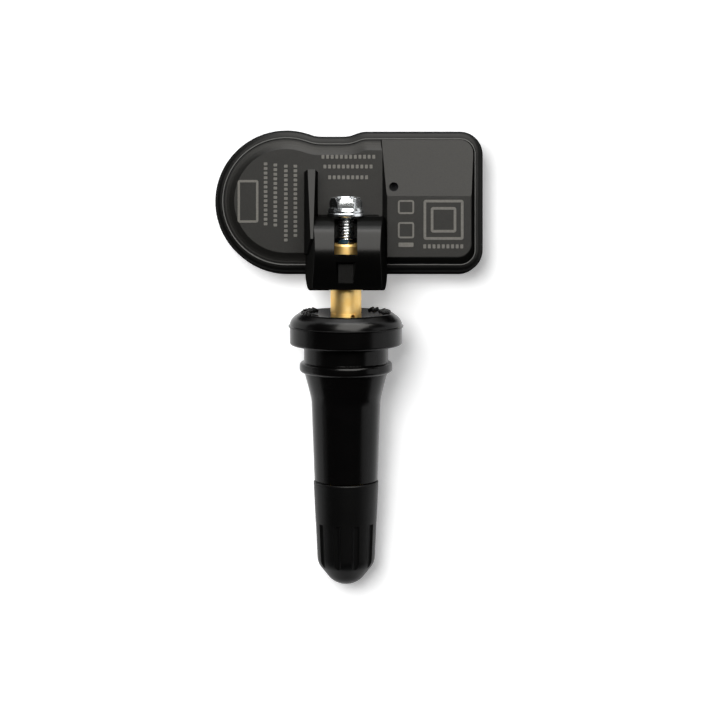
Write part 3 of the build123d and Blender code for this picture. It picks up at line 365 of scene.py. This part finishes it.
bump = add(
    tree,
    "ShaderNodeBump",
    {"Height": fleck.outputs[0], "Strength": relief.outputs[0], "Distance": GRAIN_DEPTH},
)
tree.links.new(matt.outputs[0], shader.inputs["Roughness"])
tree.links.new(dulled.outputs[0], shader.inputs["Specular IOR Level"])
tree.links.new(bump.outputs[0], shader.inputs["Normal"])
shader.inputs["IOR"].default_value = BLACK_IOR
print("finish:", nylon.name)

# %% [markdown]
# ## Rubber of the valve
# The valve is one piece of vulcanised black rubber. It comes out of a polished mould, so it is nearly as
# glossy as plastic, with a very shallow unevenness that breaks the edges of its highlights.

# %% Vulcanised rubber
CLOUD_SIZE = 4 * MM
SKIN_SIZE = 0.5 * MM
SKIN_DEPTH = 0.02 * MM
rubber, tree, shader = new_finish("vulcanised_black_rubber")
coords = add(tree, "ShaderNodeTexCoord")
cloud = add(
    tree, "ShaderNodeTexNoise", {"Vector": coords.outputs["Object"], "Scale": 1 / CLOUD_SIZE, "Detail": 4.0}
)
skin = add(
    tree, "ShaderNodeTexNoise", {"Vector": coords.outputs["Object"], "Scale": 1 / SKIN_SIZE, "Detail": 2.0}
)
tone = add(
    tree,
    "ShaderNodeMix",
    {0: cloud.outputs[0], 6: linear("#040404"), 7: linear("#070606")},
    data_type="RGBA",
)
gloss = add(tree, "ShaderNodeMapRange", {"Value": cloud.outputs[0], "To Min": 0.19, "To Max": 0.26})
bump = add(
    tree, "ShaderNodeBump", {"Height": skin.outputs[0], "Strength": 0.10, "Distance": SKIN_DEPTH}
)
tree.links.new(tone.outputs[2], shader.inputs["Base Color"])
tree.links.new(gloss.outputs[0], shader.inputs["Roughness"])
tree.links.new(bump.outputs[0], shader.inputs["Normal"])
shader.inputs["IOR"].default_value = BLACK_IOR
print("finish:", rubber.name)

# %% [markdown]
# ## Plastic of the cap
# The dust cap is moulded in plain black plastic from a finely blasted mould, so it is duller than the
# rubber beside it. The blasted grain is drawn coarser than the real one, so that it shows at all.

# %% Blasted black plastic
BLAST_SIZE = 0.25 * MM
BLAST_DEPTH = 0.02 * MM
HAZE_SIZE = 5 * MM
cap_plastic, tree, shader = new_finish("blasted_black_plastic")
coords = add(tree, "ShaderNodeTexCoord")
blast = add(
    tree, "ShaderNodeTexNoise", {"Vector": coords.outputs["Object"], "Scale": 1 / BLAST_SIZE, "Detail": 2.0}
)
haze = add(tree, "ShaderNodeTexNoise", {"Vector": coords.outputs["Object"], "Scale": 1 / HAZE_SIZE})
tone = add(
    tree,
    "ShaderNodeMix",
    {0: haze.outputs[0], 6: linear("#060606"), 7: linear("#090909")},
    data_type="RGBA",
)
gloss = add(tree, "ShaderNodeMapRange", {"Value": haze.outputs[0], "To Min": 0.36, "To Max": 0.42})
bump = add(
    tree, "ShaderNodeBump", {"Height": blast.outputs[0], "Strength": 0.15, "Distance": BLAST_DEPTH}
)
tree.links.new(tone.outputs[2], shader.inputs["Base Color"])
tree.links.new(gloss.outputs[0], shader.inputs["Roughness"])
tree.links.new(bump.outputs[0], shader.inputs["Normal"])
shader.inputs["IOR"].default_value = BLACK_IOR
shader.inputs["Specular IOR Level"].default_value = 0.4
print("finish:", cap_plastic.name)

# %% [markdown]
# ## Turned brass
# The stem is cut from brass bar on a lathe. The tool leaves rings round the axis, so the pattern depends
# only on the station along the valve. A Mapping node turns the object's coordinates into the valve's own.

# %% Brass with tool rings
RING_SPACING = 0.18 * MM
RING_DEPTH = 0.02 * MM
STAIN_SIZE = 1.5 * MM
to_valve = standing_on(TO_CAP).inverted()
VALVE_MAPPING = {"Location": to_valve.to_translation(), "Rotation": to_valve.to_euler()}
brass, tree, shader = new_finish("turned_brass")
coords = add(tree, "ShaderNodeTexCoord")
valve = add(tree, "ShaderNodeMapping", {"Vector": coords.outputs["Object"], **VALVE_MAPPING})
station = add(tree, "ShaderNodeSeparateXYZ", {"Vector": valve.outputs[0]})
rings = add(
    tree,
    "ShaderNodeTexNoise",
    {"W": station.outputs["Z"], "Scale": 1 / RING_SPACING, "Detail": 2.0},
    noise_dimensions="1D",
)
stain = add(
    tree, "ShaderNodeTexNoise", {"Vector": coords.outputs["Object"], "Scale": 1 / STAIN_SIZE, "Detail": 3.0}
)
tone = add(
    tree,
    "ShaderNodeMix",
    {0: stain.outputs[0], 6: linear("#f0bd5e"), 7: linear("#fce0a0")},
    data_type="RGBA",
)
gloss = add(tree, "ShaderNodeMapRange", {"Value": rings.outputs[0], "To Min": 0.38, "To Max": 0.52})
bump = add(
    tree, "ShaderNodeBump", {"Height": rings.outputs[0], "Strength": 0.50, "Distance": RING_DEPTH}
)
tree.links.new(tone.outputs[2], shader.inputs["Base Color"])
tree.links.new(gloss.outputs[0], shader.inputs["Roughness"])
tree.links.new(bump.outputs[0], shader.inputs["Normal"])
shader.inputs["Metallic"].default_value = 1.0
print("finish:", brass.name)

# %% [markdown]
# ## Zinc-plated steel
# The screw and the washer are steel with a bright zinc plate. Zinc is a cool grey, smooth but a little
# cloudy. A patch of blue thread-lock is dried onto the left of the screw where it enters the brass, so the
# screw's finish is the zinc with a second shader laid over it by place.

# %% Bright zinc
BLOOM_SIZE = 0.9 * MM
zinc, tree, shader = new_finish("bright_zinc_plate")
coords = add(tree, "ShaderNodeTexCoord")
bloom = add(
    tree, "ShaderNodeTexNoise", {"Vector": coords.outputs["Object"], "Scale": 1 / BLOOM_SIZE, "Detail": 3.0}
)
tone = add(
    tree,
    "ShaderNodeMix",
    {0: bloom.outputs[0], 6: linear("#ced2d5"), 7: linear("#e4e7e9")},
    data_type="RGBA",
)
gloss = add(tree, "ShaderNodeMapRange", {"Value": bloom.outputs[0], "To Min": 0.18, "To Max": 0.28})
tree.links.new(tone.outputs[2], shader.inputs["Base Color"])
tree.links.new(gloss.outputs[0], shader.inputs["Roughness"])
shader.inputs["Metallic"].default_value = 1.0
print("finish:", zinc.name)

# %% Zinc with a thread-lock patch
PATCH_START = -2.5 * MM
PATCH_SIDE = 0.3 * MM
RAGGED_SIZE = 0.7 * MM
RAGGED_REACH = 0.9 * MM
screw_zinc = zinc.copy()
screw_zinc.name = "bright_zinc_with_thread_lock"
tree = screw_zinc.node_tree
shader = tree.nodes["Principled BSDF"]
coords = next(node for node in tree.nodes if node.type == "TEX_COORD")
valve = add(tree, "ShaderNodeMapping", {"Vector": coords.outputs["Object"], **VALVE_MAPPING})
station = add(tree, "ShaderNodeSeparateXYZ", {"Vector": valve.outputs[0]})
ragged = add(
    tree, "ShaderNodeTexNoise", {"Vector": coords.outputs["Object"], "Scale": 1 / RAGGED_SIZE, "Detail": 2.0}
)
edges = []
for axis, limit, side in (("Z", PATCH_START, "GREATER_THAN"), ("X", PATCH_SIDE, "LESS_THAN")):
    shift = add(
        tree,
        "ShaderNodeMath",
        {0: ragged.outputs[0], 1: RAGGED_REACH, 2: station.outputs[axis]},
        operation="MULTIPLY_ADD",
    )
    edge = add(tree, "ShaderNodeMath", {0: shift.outputs[0], 1: limit + RAGGED_REACH / 2}, operation=side)
    edges.append(edge.outputs[0])
patch = add(tree, "ShaderNodeMath", {0: edges[0], 1: edges[1]}, operation="MULTIPLY")
lock = add(
    tree,
    "ShaderNodeBsdfPrincipled",
    {"Base Color": linear("#0d3548"), "Roughness": 0.6, "Specular IOR Level": 0.3},
)
patched = add(tree, "ShaderNodeMixShader", {0: patch.outputs[0], 1: shader.outputs[0], 2: lock.outputs[0]})
tree.links.new(patched.outputs[0], tree.nodes["Material Output"].inputs["Surface"])
print("finish:", screw_zinc.name)

# %% [markdown]
# ## Finishes of the parts inside
# Nobody sees these until the box or the valve is opened, but each still gets the finish of its real
# material. They share one pattern, a soft change between two tones, and differ in colour, grain and gloss.

# %% Plain finishes in one loop
# name: first tone, second tone, size of the change in mm, metallic, lowest and highest roughness
INNER_FINISHES = {
    "green_solder_mask": ("#0f4a2a", "#15603a", 2.0, 0.0, 0.25, 0.35),
    "plated_cell_can": ("#b9bab8", "#cfd0ce", 1.5, 1.0, 0.18, 0.28),
    "nickel_strip": ("#b8b4aa", "#cdc9c0", 0.6, 1.0, 0.25, 0.38),
    "moulding_compound": ("#161618", "#1f1f21", 0.4, 0.0, 0.55, 0.70),
    "soft_seal_rubber": ("#070707", "#0c0c0c", 0.5, 0.0, 0.85, 0.95),
    "sintered_ferrite": ("#2b2b2e", "#38383b", 0.3, 0.0, 0.60, 0.75),
    "enamelled_copper": ("#8c4a22", "#b9652f", 0.1, 1.0, 0.25, 0.35),
    "fired_ceramic": ("#9a7a52", "#b0906a", 0.4, 0.0, 0.45, 0.60),
    "red_gasket": ("#9c1f1a", "#b42c24", 0.6, 0.0, 0.35, 0.45),
}
inner = {}
for name, (first, second, size, metallic, smooth, dull) in INNER_FINISHES.items():
    inner[name], tree, shader = new_finish(name)
    coords = add(tree, "ShaderNodeTexCoord")
    change = add(
        tree,
        "ShaderNodeTexNoise",
        {"Vector": coords.outputs["Object"], "Scale": 1 / (size * MM), "Detail": 3.0},
    )
    tone = add(
        tree, "ShaderNodeMix", {0: change.outputs[0], 6: linear(first), 7: linear(second)}, data_type="RGBA"
    )
    gloss = add(tree, "ShaderNodeMapRange", {"Value": change.outputs[0], "To Min": smooth, "To Max": dull})
    tree.links.new(tone.outputs[2], shader.inputs["Base Color"])
    tree.links.new(gloss.outputs[0], shader.inputs["Roughness"])
    shader.inputs["Metallic"].default_value = metallic
    if not metallic:
        shader.inputs["IOR"].default_value = BLACK_IOR
print("finishes inside:", len(inner))

# %% [markdown]
# ## Which solid gets which finish
# A solid keeps its shape and only takes a new material in its slot.

# %% Finishes on the solids
NODE_FINISHES = {
    "housing": nylon,
    "base_cover": nylon,
    "circuit_board": inner["green_solder_mask"],
    "battery": inner["plated_cell_can"],
    "battery_tab_upper": inner["nickel_strip"],
    "battery_tab_lower": inner["nickel_strip"],
    "sensor_chip": inner["moulding_compound"],
    "vent_seal": inner["soft_seal_rubber"],
    "coil_core": inner["sintered_ferrite"],
    "coil_winding": inner["enamelled_copper"],
    "crystal": inner["nickel_strip"],
    "antenna": brass,
    "chip_capacitors": inner["fired_ceramic"],
    "brass_stem": brass,
    "rubber_body": rubber,
    "screw_washer": zinc,
    "clamp_screw": screw_zinc,
    "core_body": brass,
    "core_gasket": inner["red_gasket"],
    "core_pin": brass,
    "core_pin_seal": inner["soft_seal_rubber"],
    "core_spring": inner["nickel_strip"],
    "cap": cap_plastic,
    "cap_seal": inner["soft_seal_rubber"],
}
for name, finish in NODE_FINISHES.items():
    slots = frame["nodes"][name].data.materials
    slots.clear()
    slots.append(finish)
print("solids with a finish:", len(NODE_FINISHES), "of", len(frame["nodes"]))

# %% [markdown]
# ## Shaping by hand, in code
# Modelling by hand is a chain of small steps: add a primitive, select some faces or edges, run an operator
# on them. These helpers do the steps that every piece needs. One clears the selection and adds a primitive,
# one selects the vertices, edges or faces that pass a test, one applies a modifier, one joins pieces, and
# the last lays the finished piece in its place.

# %% Helpers for modelling


def start(operator, name, **settings):
    """Adds a primitive as the only selected object, and names it."""
    bpy.ops.object.select_all(action="DESELECT")
    operator(**settings)
    piece = bpy.context.object
    piece.name = name
    return piece


def select(piece, mode, test):
    """In edit mode, selects the vertices, edges or faces that pass a test of themselves and their middle."""
    bpy.ops.mesh.select_mode(type=mode)
    bpy.ops.mesh.select_all(action="DESELECT")
    mesh = bmesh.from_edit_mesh(piece.data)
    for member in {"VERT": mesh.verts, "EDGE": mesh.edges, "FACE": mesh.faces}[mode]:
        corners = [member] if mode == "VERT" else member.verts
        middle = sum((corner.co for corner in corners), Vector()) / len(corners)
        if test(member, middle):
            member.select_set(True)
    mesh.select_flush_mode()
    bmesh.update_edit_mesh(piece.data)


def apply_modifier(piece, kind, **settings):
    """Adds a modifier, sets it and applies it."""
    modifier = piece.modifiers.new(kind.title(), kind)
    for name, value in settings.items():
        setattr(modifier, name, value)
    bpy.context.view_layer.objects.active = piece
    bpy.ops.object.modifier_apply(modifier=modifier.name)


def join(pieces):
    """Joins pieces into the first of them."""
    bpy.ops.object.select_all(action="DESELECT")
    for piece in pieces:
        piece.select_set(True)
    bpy.context.view_layer.objects.active = pieces[0]
    bpy.ops.object.join()


def settle(piece, matrix, body, slot, finish):
    """Lays a finished piece in place, with its place in its mesh, and lets it ride on a body."""
    piece.data.transform(matrix)
    piece.data.update()
    piece.data.materials.clear()
    piece.data.materials.append(finish)
    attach(piece, body)
    print(piece.name, "faces:", len(piece.data.polygons), "rides on", body)


print("helpers:", [helper.__name__ for helper in (start, select, apply_modifier, join, settle)])

# %% [markdown]
# ## A screw thread
# A 60-degree thread is an equilateral triangle wound round a core. A circle with three vertices is that
# triangle, and it can be flattened for a shallower thread. The Screw modifier winds it up by one pitch a
# turn, and its two open ends are filled so that the ridge is a closed solid. Its base is sunk in the core.
# It is shaded smooth, so its crest takes the light like the slightly rounded crest of a rolled thread.

# %% Helpers for coils and threads


def wind(profile, pitch, turns, steps):
    """Winds a closed outline up Z by one pitch a turn, and fills both ends."""
    apply_modifier(
        profile,
        "SCREW",
        axis="Z",
        angle=2 * pi,
        screw_offset=pitch,
        iterations=turns,
        steps=steps,
        render_steps=steps,
        use_merge_vertices=False,
        use_normal_calculate=True,
    )
    bpy.ops.object.mode_set(mode="EDIT")
    select(profile, "EDGE", lambda edge, middle: edge.is_boundary)
    bpy.ops.mesh.fill()
    bpy.ops.mesh.select_all(action="SELECT")
    bpy.ops.mesh.normals_make_consistent(inside=False)
    bpy.ops.object.mode_set(mode="OBJECT")
    bpy.ops.object.shade_smooth()


def thread(name, crest_radius, pitch, depth, low, high, steps):
    """A closed helical ridge round Z, from one height to another, with its crest at a radius."""
    corner = pitch / sqrt(3)
    full_depth = 1.5 * corner
    flatness = depth / full_depth
    ridge = start(
        bpy.ops.mesh.primitive_circle_add,
        name,
        vertices=3,
        radius=corner,
        fill_type="NOTHING",
        rotation=(radians(90), radians(90), 0),
    )
    bpy.ops.object.transform_apply(location=True, rotation=True, scale=True)
    ridge.scale.x = flatness
    ridge.location = (crest_radius - corner * flatness, 0, low)
    bpy.ops.object.transform_apply(location=True, rotation=True, scale=True)
    wind(ridge, pitch, round((high - low) / pitch), steps)
    return ridge


print("helpers:", [helper.__name__ for helper in (wind, thread)])

# %% [markdown]
# ## The clamp screw
# A flanged hexagon screw pulls the brass against the hood. It is modelled upright with its point down:
# a core with a chamfered point, a wide flange with a sloping top, a hexagon with chamfered corners, and
# the thread. The hexagon is as wide as the photo shows it, which is wider than the plain solid's. The pieces
# are joined, and they replace that solid.

# %% Core and flange of the screw
CORE_RADIUS = 1.21 * MM
CORE_SIDES = 48
POINT_HEIGHT = -4.2 * MM
POINT_CHAMFER = 0.35 * MM
SEAT_HEIGHT = 7.05 * MM
FLANGE_RADIUS = 3.1 * MM
FLANGE_EDGE = 0.35 * MM
FLANGE_CONE = 0.45 * MM
FLANGE_ROUNDING = 0.1 * MM
HEX_ACROSS_FLATS = 4.9 * MM
CONE_TOP_RADIUS = HEX_ACROSS_FLATS / 2 + 0.4 * MM
UPWARD = 0.99
TOLERANCE = 1e-7
SMOOTH_BELOW = radians(28)
core = start(
    bpy.ops.mesh.primitive_cylinder_add,
    "clamp_screw_threaded",
    vertices=CORE_SIDES,
    radius=CORE_RADIUS,
    depth=SEAT_HEIGHT - POINT_HEIGHT,
    location=(0, 0, (SEAT_HEIGHT + POINT_HEIGHT) / 2),
)
bpy.ops.object.transform_apply(location=True, rotation=False, scale=False)
bpy.ops.object.mode_set(mode="EDIT")
select(core, "FACE", lambda face, middle: face.normal.z > UPWARD)
for widening, rise in (
    (FLANGE_RADIUS / CORE_RADIUS, 0),
    (1, FLANGE_EDGE),
    (CONE_TOP_RADIUS / FLANGE_RADIUS, FLANGE_CONE),
):
    bpy.ops.mesh.extrude_region_move(TRANSFORM_OT_translate={"value": (0, 0, rise)})
    bpy.ops.transform.resize(value=(widening, widening, 1))
select(core, "EDGE", lambda edge, middle: all(abs(v.co.z - POINT_HEIGHT) < TOLERANCE for v in edge.verts))
bpy.ops.mesh.bevel(offset=POINT_CHAMFER, segments=1)
select(
    core,
    "EDGE",
    lambda edge, middle: all(abs(v.co.xy.length - FLANGE_RADIUS) < TOLERANCE for v in edge.verts)
    and abs(edge.verts[0].co.z - edge.verts[1].co.z) < TOLERANCE,
)
bpy.ops.mesh.bevel(offset=FLANGE_ROUNDING, segments=2)
bpy.ops.object.mode_set(mode="OBJECT")
bpy.ops.object.shade_smooth_by_angle(angle=SMOOTH_BELOW)
print("core and flange:", len(core.data.polygons), "faces")

# %% Hexagon of the screw
HEX_HEIGHT = 1.8 * MM
HEX_SUNK = 0.1 * MM
HEX_CHAMFER = 0.85 * MM
TOP_ROUNDING = 0.20 * MM
SIDE_ROUNDING = 0.06 * MM
LEAST_SIDE_RISE = 0.5 * MM
DIMPLE_BORDER = 0.45 * MM
DIMPLE_WALL = 0.12 * MM
DIMPLE_DEPTH = 0.15 * MM
CONE_HEIGHT = SEAT_HEIGHT + FLANGE_EDGE + FLANGE_CONE
HEX_FOOT = CONE_HEIGHT - HEX_SUNK
HEX_TOP = CONE_HEIGHT + HEX_HEIGHT
hexagon = start(
    bpy.ops.mesh.primitive_cylinder_add,
    "screw_hexagon",
    vertices=6,
    radius=HEX_ACROSS_FLATS / 2 / cos(radians(30)),
    depth=HEX_TOP - HEX_FOOT,
    location=(0, 0, (HEX_TOP + HEX_FOOT) / 2),
    rotation=(0, 0, radians(30)),
)
bpy.ops.object.transform_apply(location=True, rotation=True, scale=False)
bpy.ops.object.mode_set(mode="EDIT")
select(hexagon, "VERT", lambda vertex, middle: abs(middle.z - HEX_TOP) < TOLERANCE)
bpy.ops.mesh.bevel(offset=HEX_CHAMFER, segments=1, affect="VERTICES")
select(hexagon, "EDGE", lambda edge, middle: abs(middle.z - HEX_TOP) < TOLERANCE)
bpy.ops.mesh.bevel(offset=TOP_ROUNDING, segments=2)
select(
    hexagon,
    "EDGE",
    lambda edge, middle: abs(edge.verts[0].co.z - edge.verts[1].co.z) > LEAST_SIDE_RISE,
)
bpy.ops.mesh.bevel(offset=SIDE_ROUNDING, segments=2)
select(hexagon, "FACE", lambda face, middle: face.normal.z > UPWARD and face.calc_area() > MM * MM)
bpy.ops.mesh.inset(thickness=DIMPLE_BORDER, depth=0)
bpy.ops.mesh.inset(thickness=DIMPLE_WALL, depth=-DIMPLE_DEPTH)
bpy.ops.object.mode_set(mode="OBJECT")
bpy.ops.object.shade_smooth_by_angle(angle=SMOOTH_BELOW)
print("hexagon:", len(hexagon.data.polygons), "faces")

# %% Thread of the screw, and the finished screw
CREST_RADIUS = 1.5 * MM
THREAD_PITCH = 0.5 * MM
THREAD_DEPTH = THREAD_PITCH * sqrt(3) / 2
THREAD_LOW = POINT_HEIGHT + 0.3 * MM
THREAD_HIGH = SEAT_HEIGHT - 0.3 * MM
THREAD_STEPS = 32
screw_thread = thread(
    "screw_thread", CREST_RADIUS, THREAD_PITCH, THREAD_DEPTH, THREAD_LOW, THREAD_HIGH, THREAD_STEPS
)
join([core, hexagon, screw_thread])
settle(core, standing_on(TO_HEAD), "screw", "zinc_steel", screw_zinc)
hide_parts("clamp_screw")

# %% [markdown]
# ## The thread under the cap
# With the cap off, the valve's tip shows the standard fine thread that caps and pumps screw onto. The solid
# brass is as wide as that thread, and the cap's bore only a tenth of a millimetre wider. So the same helper
# winds a flattened ridge round the brass that fits between the two, and its flanks catch the light as real
# ones do.

# %% Thread of the valve tip
TIP_RADIUS = 3.85 * MM
TIP_PITCH = 0.794 * MM
TIP_PROUD = 0.08 * MM
TIP_SUNK = 0.02 * MM
TIP_LOW = 40.9 * MM
TIP_HIGH = 51.3 * MM
TIP_STEPS = 48
tip_thread = thread(
    "valve_tip_thread", TIP_RADIUS + TIP_PROUD, TIP_PITCH, TIP_PROUD + TIP_SUNK, TIP_LOW, TIP_HIGH, TIP_STEPS
)
settle(tip_thread, standing_on(TO_CAP), "stem", "brass", brass)

# %% [markdown]
# ## The spring of the valve core
# A coil spring holds the pin of the core shut, and it shortens when the pin is pressed in. The coil is wound
# here from a small circle, as long and as wide as the solid that it replaces, and it gets a mesh of its own.

# %% Coil spring of the core
WIRE_RADIUS = 0.17 * MM
WIRE_SIDES = 12
SPRING_TURNS = 5
SPRING_STEPS = 32
stations = [(vertex.co - PIVOT).dot(TO_CAP) for vertex in frame["nodes"]["core_spring"].data.vertices]
seat, spring_length = min(stations), max(stations) - min(stations)
left, right = (corner[0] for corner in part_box("core_spring"))
spring = start(
    bpy.ops.mesh.primitive_circle_add,
    "core_spring_coil",
    vertices=WIRE_SIDES,
    radius=WIRE_RADIUS,
    fill_type="NOTHING",
    location=((right - left) / 2 - WIRE_RADIUS, 0, seat + WIRE_RADIUS),
    rotation=(radians(90), 0, 0),
)
bpy.ops.object.transform_apply(location=True, rotation=True, scale=True)
wind(spring, (spring_length - 2 * WIRE_RADIUS) / SPRING_TURNS, SPRING_TURNS, SPRING_STEPS)
settle(spring, standing_on(TO_CAP), "stem", "nickel_strip", inner["nickel_strip"])
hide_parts("core_spring")
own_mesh(spring)

# %% [markdown]
# ## Ribs on the flange
# The face of the rubber flange that looks at the box is dished, and carries small raised ribs inside its
# crest. One rib is a cube, rounded where it looks at the box and laid on the slope of the dish. The others
# are copies turned round the axis, in groups at both sides, so that none stands before the brass. None is at
# the bottom, where the box comes close to the dish when the stem is tilted down.

# %% One rib
RIB_RADIUS = 7.1 * MM
RIB_STATION = 10.31 * MM
RIB_SLOPE = radians(14.6)
RIB_LENGTH = 1.4 * MM
RIB_WIDTH = 0.5 * MM
RIB_HEIGHT = 0.34 * MM
RIB_ROUNDING = 0.14 * MM
rib = start(
    bpy.ops.mesh.primitive_cube_add,
    "flange_ribs",
    size=1,
    scale=(RIB_LENGTH, RIB_WIDTH, 2 * RIB_HEIGHT),
)
bpy.ops.object.transform_apply(location=True, rotation=True, scale=True)
bpy.ops.object.mode_set(mode="EDIT")
select(rib, "EDGE", lambda edge, middle: middle.z < -0.5 * RIB_HEIGHT or abs(middle.z) < TOLERANCE)
bpy.ops.mesh.bevel(offset=RIB_ROUNDING, segments=3)
bpy.ops.object.mode_set(mode="OBJECT")
lean = Matrix.Translation((RIB_RADIUS, 0, RIB_STATION)) @ Matrix.Rotation(RIB_SLOPE, 4, "Y")
rib.data.transform(lean)
print("one rib:", len(rib.data.polygons), "faces")

# %% Copies of the rib round the flange
RIB_SPACING = 8
# first angle in degrees, and number of ribs, of each group
RIB_GROUPS = [(-28, 6), (138, 6), (196, 4), (308, 2)]
RIB_SMOOTH_BELOW = radians(40)
angles = [first + index * RIB_SPACING for first, count in RIB_GROUPS for index in range(count)]
ribs = [rib]
for angle in angles[1:]:
    copy = rib.copy()
    copy.data = rib.data.copy()
    bpy.context.scene.collection.objects.link(copy)
    copy.data.transform(Matrix.Rotation(radians(angle), 4, "Z"))
    ribs.append(copy)
rib.data.transform(Matrix.Rotation(radians(angles[0]), 4, "Z"))
join(ribs)
bpy.ops.object.shade_smooth_by_angle(angle=RIB_SMOOTH_BELOW)
settle(rib, standing_on(TO_CAP), "stem", "black_rubber", rubber)

# %% [markdown]
# ## Marked fields on the box
# A laser can bleach nylon where a box is to carry marks. Here they are plain rows of dashes and open
# frames. Each is a plane, repeated along a row or cut to a frame, given a thickness of a few hundredths of
# a millimetre, and pressed most of the way into the face that carries it. The laser's own lines are finer
# than the pattern drawn here, which is as coarse as it needs to be to show.

# %% Laser-bleached nylon
RASTER_SIZE = 0.3 * MM
RASTER_DEPTH = 0.02 * MM
bleached, tree, shader = new_finish("laser_bleached_nylon")
coords = add(tree, "ShaderNodeTexCoord")
raster = add(
    tree, "ShaderNodeTexNoise", {"Vector": coords.outputs["Object"], "Scale": 1 / RASTER_SIZE, "Detail": 2.0}
)
tone = add(
    tree,
    "ShaderNodeMix",
    {0: raster.outputs[0], 6: linear("#46443f"), 7: linear("#6a6760")},
    data_type="RGBA",
)
bump = add(
    tree, "ShaderNodeBump", {"Height": raster.outputs[0], "Strength": 0.3, "Distance": RASTER_DEPTH}
)
tree.links.new(tone.outputs[2], shader.inputs["Base Color"])
tree.links.new(bump.outputs[0], shader.inputs["Normal"])
shader.inputs["Roughness"].default_value = 0.7
print("finish:", bleached.name)

# %% Where the rows and frames are
# middle x and y from the pivot, width and height in mm, and face height of each row
ROWS = [
    (-8.79, 9.33, 0.62, 13.0, PANEL_TOP),
    (-10.44, 8.93, 0.62, 13.8, PANEL_TOP),
    (-12.27, 10.33, 0.62, 11.0, PANEL_TOP),
    (-13.95, 10.53, 0.62, 11.0, PANEL_TOP),
    (0.40, 16.96, 9.4, 0.66, PANEL_TOP),
    (0.33, 15.26, 8.8, 0.66, PANEL_TOP),
    (0.35, 13.40, 7.6, 0.66, PANEL_TOP),
    (16.80, 1.34, 7.0, 0.7, PLATEAU_TOP),
]
# middle x and y from the pivot, width, height and border in mm, and face height of each frame
FRAMES = [
    (-17.00, 9.23, 3.6, 7.4, 0.4, PANEL_TOP),
    (16.85, 5.93, 6.9, 6.9, 0.45, PLATEAU_TOP),
    (16.85, 5.93, 4.4, 4.4, 0.45, PLATEAU_TOP),
    (10.37, 8.13, 2.8, 2.4, 0.3, PLATEAU_TOP),
    (10.37, 4.13, 2.8, 2.8, 0.3, PLATEAU_TOP),
    (10.37, 1.62, 2.6, 0.75, 0, PLATEAU_TOP),
]
print("rows:", len(ROWS), "frames:", len(FRAMES))

# %% Rows of dashes
FIELD_PROUD = 0.012 * MM
CORNER_SHARE = 0.2
LARGEST_SIDE = 2
DASH_LENGTH = 0.5
DASH_PITCH = 0.8


def plate(x, y, width, height, face_height):
    """A thin plane on a face of the box, with rounded corners, left in edit mode. All but the last in mm."""
    piece = start(
        bpy.ops.mesh.primitive_plane_add,
        "marked_fields",
        size=1,
        location=(PIVOT.x + x * MM, PIVOT.y + y * MM, face_height + FIELD_PROUD),
    )
    bpy.ops.transform.resize(value=(width * MM, height * MM, 1))
    bpy.ops.object.transform_apply(location=True, rotation=True, scale=True)
    bpy.ops.object.mode_set(mode="EDIT")
    bpy.ops.mesh.select_all(action="SELECT")
    rounding = CORNER_SHARE * min(width, height, LARGEST_SIDE) * MM
    bpy.ops.mesh.bevel(offset=rounding, segments=3, affect="VERTICES")
    bpy.ops.mesh.select_all(action="SELECT")
    return piece


fields = []
for x, y, width, height, face_height in ROWS:
    length = max(width, height)
    count = int((length - DASH_LENGTH) / DASH_PITCH) + 1
    step = Vector((1, 0, 0)) if width > height else Vector((0, 1, 0))
    first = Vector((x, y, 0)) - step * DASH_PITCH * (count - 1) / 2
    size = (DASH_LENGTH, height) if width > height else (width, DASH_LENGTH)
    dashes = plate(first.x, first.y, *size, face_height)
    bpy.ops.object.mode_set(mode="OBJECT")
    apply_modifier(
        dashes,
        "ARRAY",
        count=count,
        use_relative_offset=False,
        use_constant_offset=True,
        constant_offset_displace=step * DASH_PITCH * MM,
    )
    fields.append(dashes)
print("rows made:", len(fields))

# %% Frames, and the finished fields
FIELD_THICKNESS = 0.03 * MM
for x, y, width, height, border, face_height in FRAMES:
    outline = plate(x, y, width, height, face_height)
    if border:
        bpy.ops.mesh.inset(thickness=border * MM, depth=0)
        bpy.ops.mesh.delete(type="FACE")
    bpy.ops.object.mode_set(mode="OBJECT")
    fields.append(outline)
for field in fields:
    apply_modifier(field, "SOLIDIFY", thickness=FIELD_THICKNESS, offset=-1)
join(fields)
settle(fields[0], Matrix.Identity(4), "sensor", "housing_plastic", bleached)
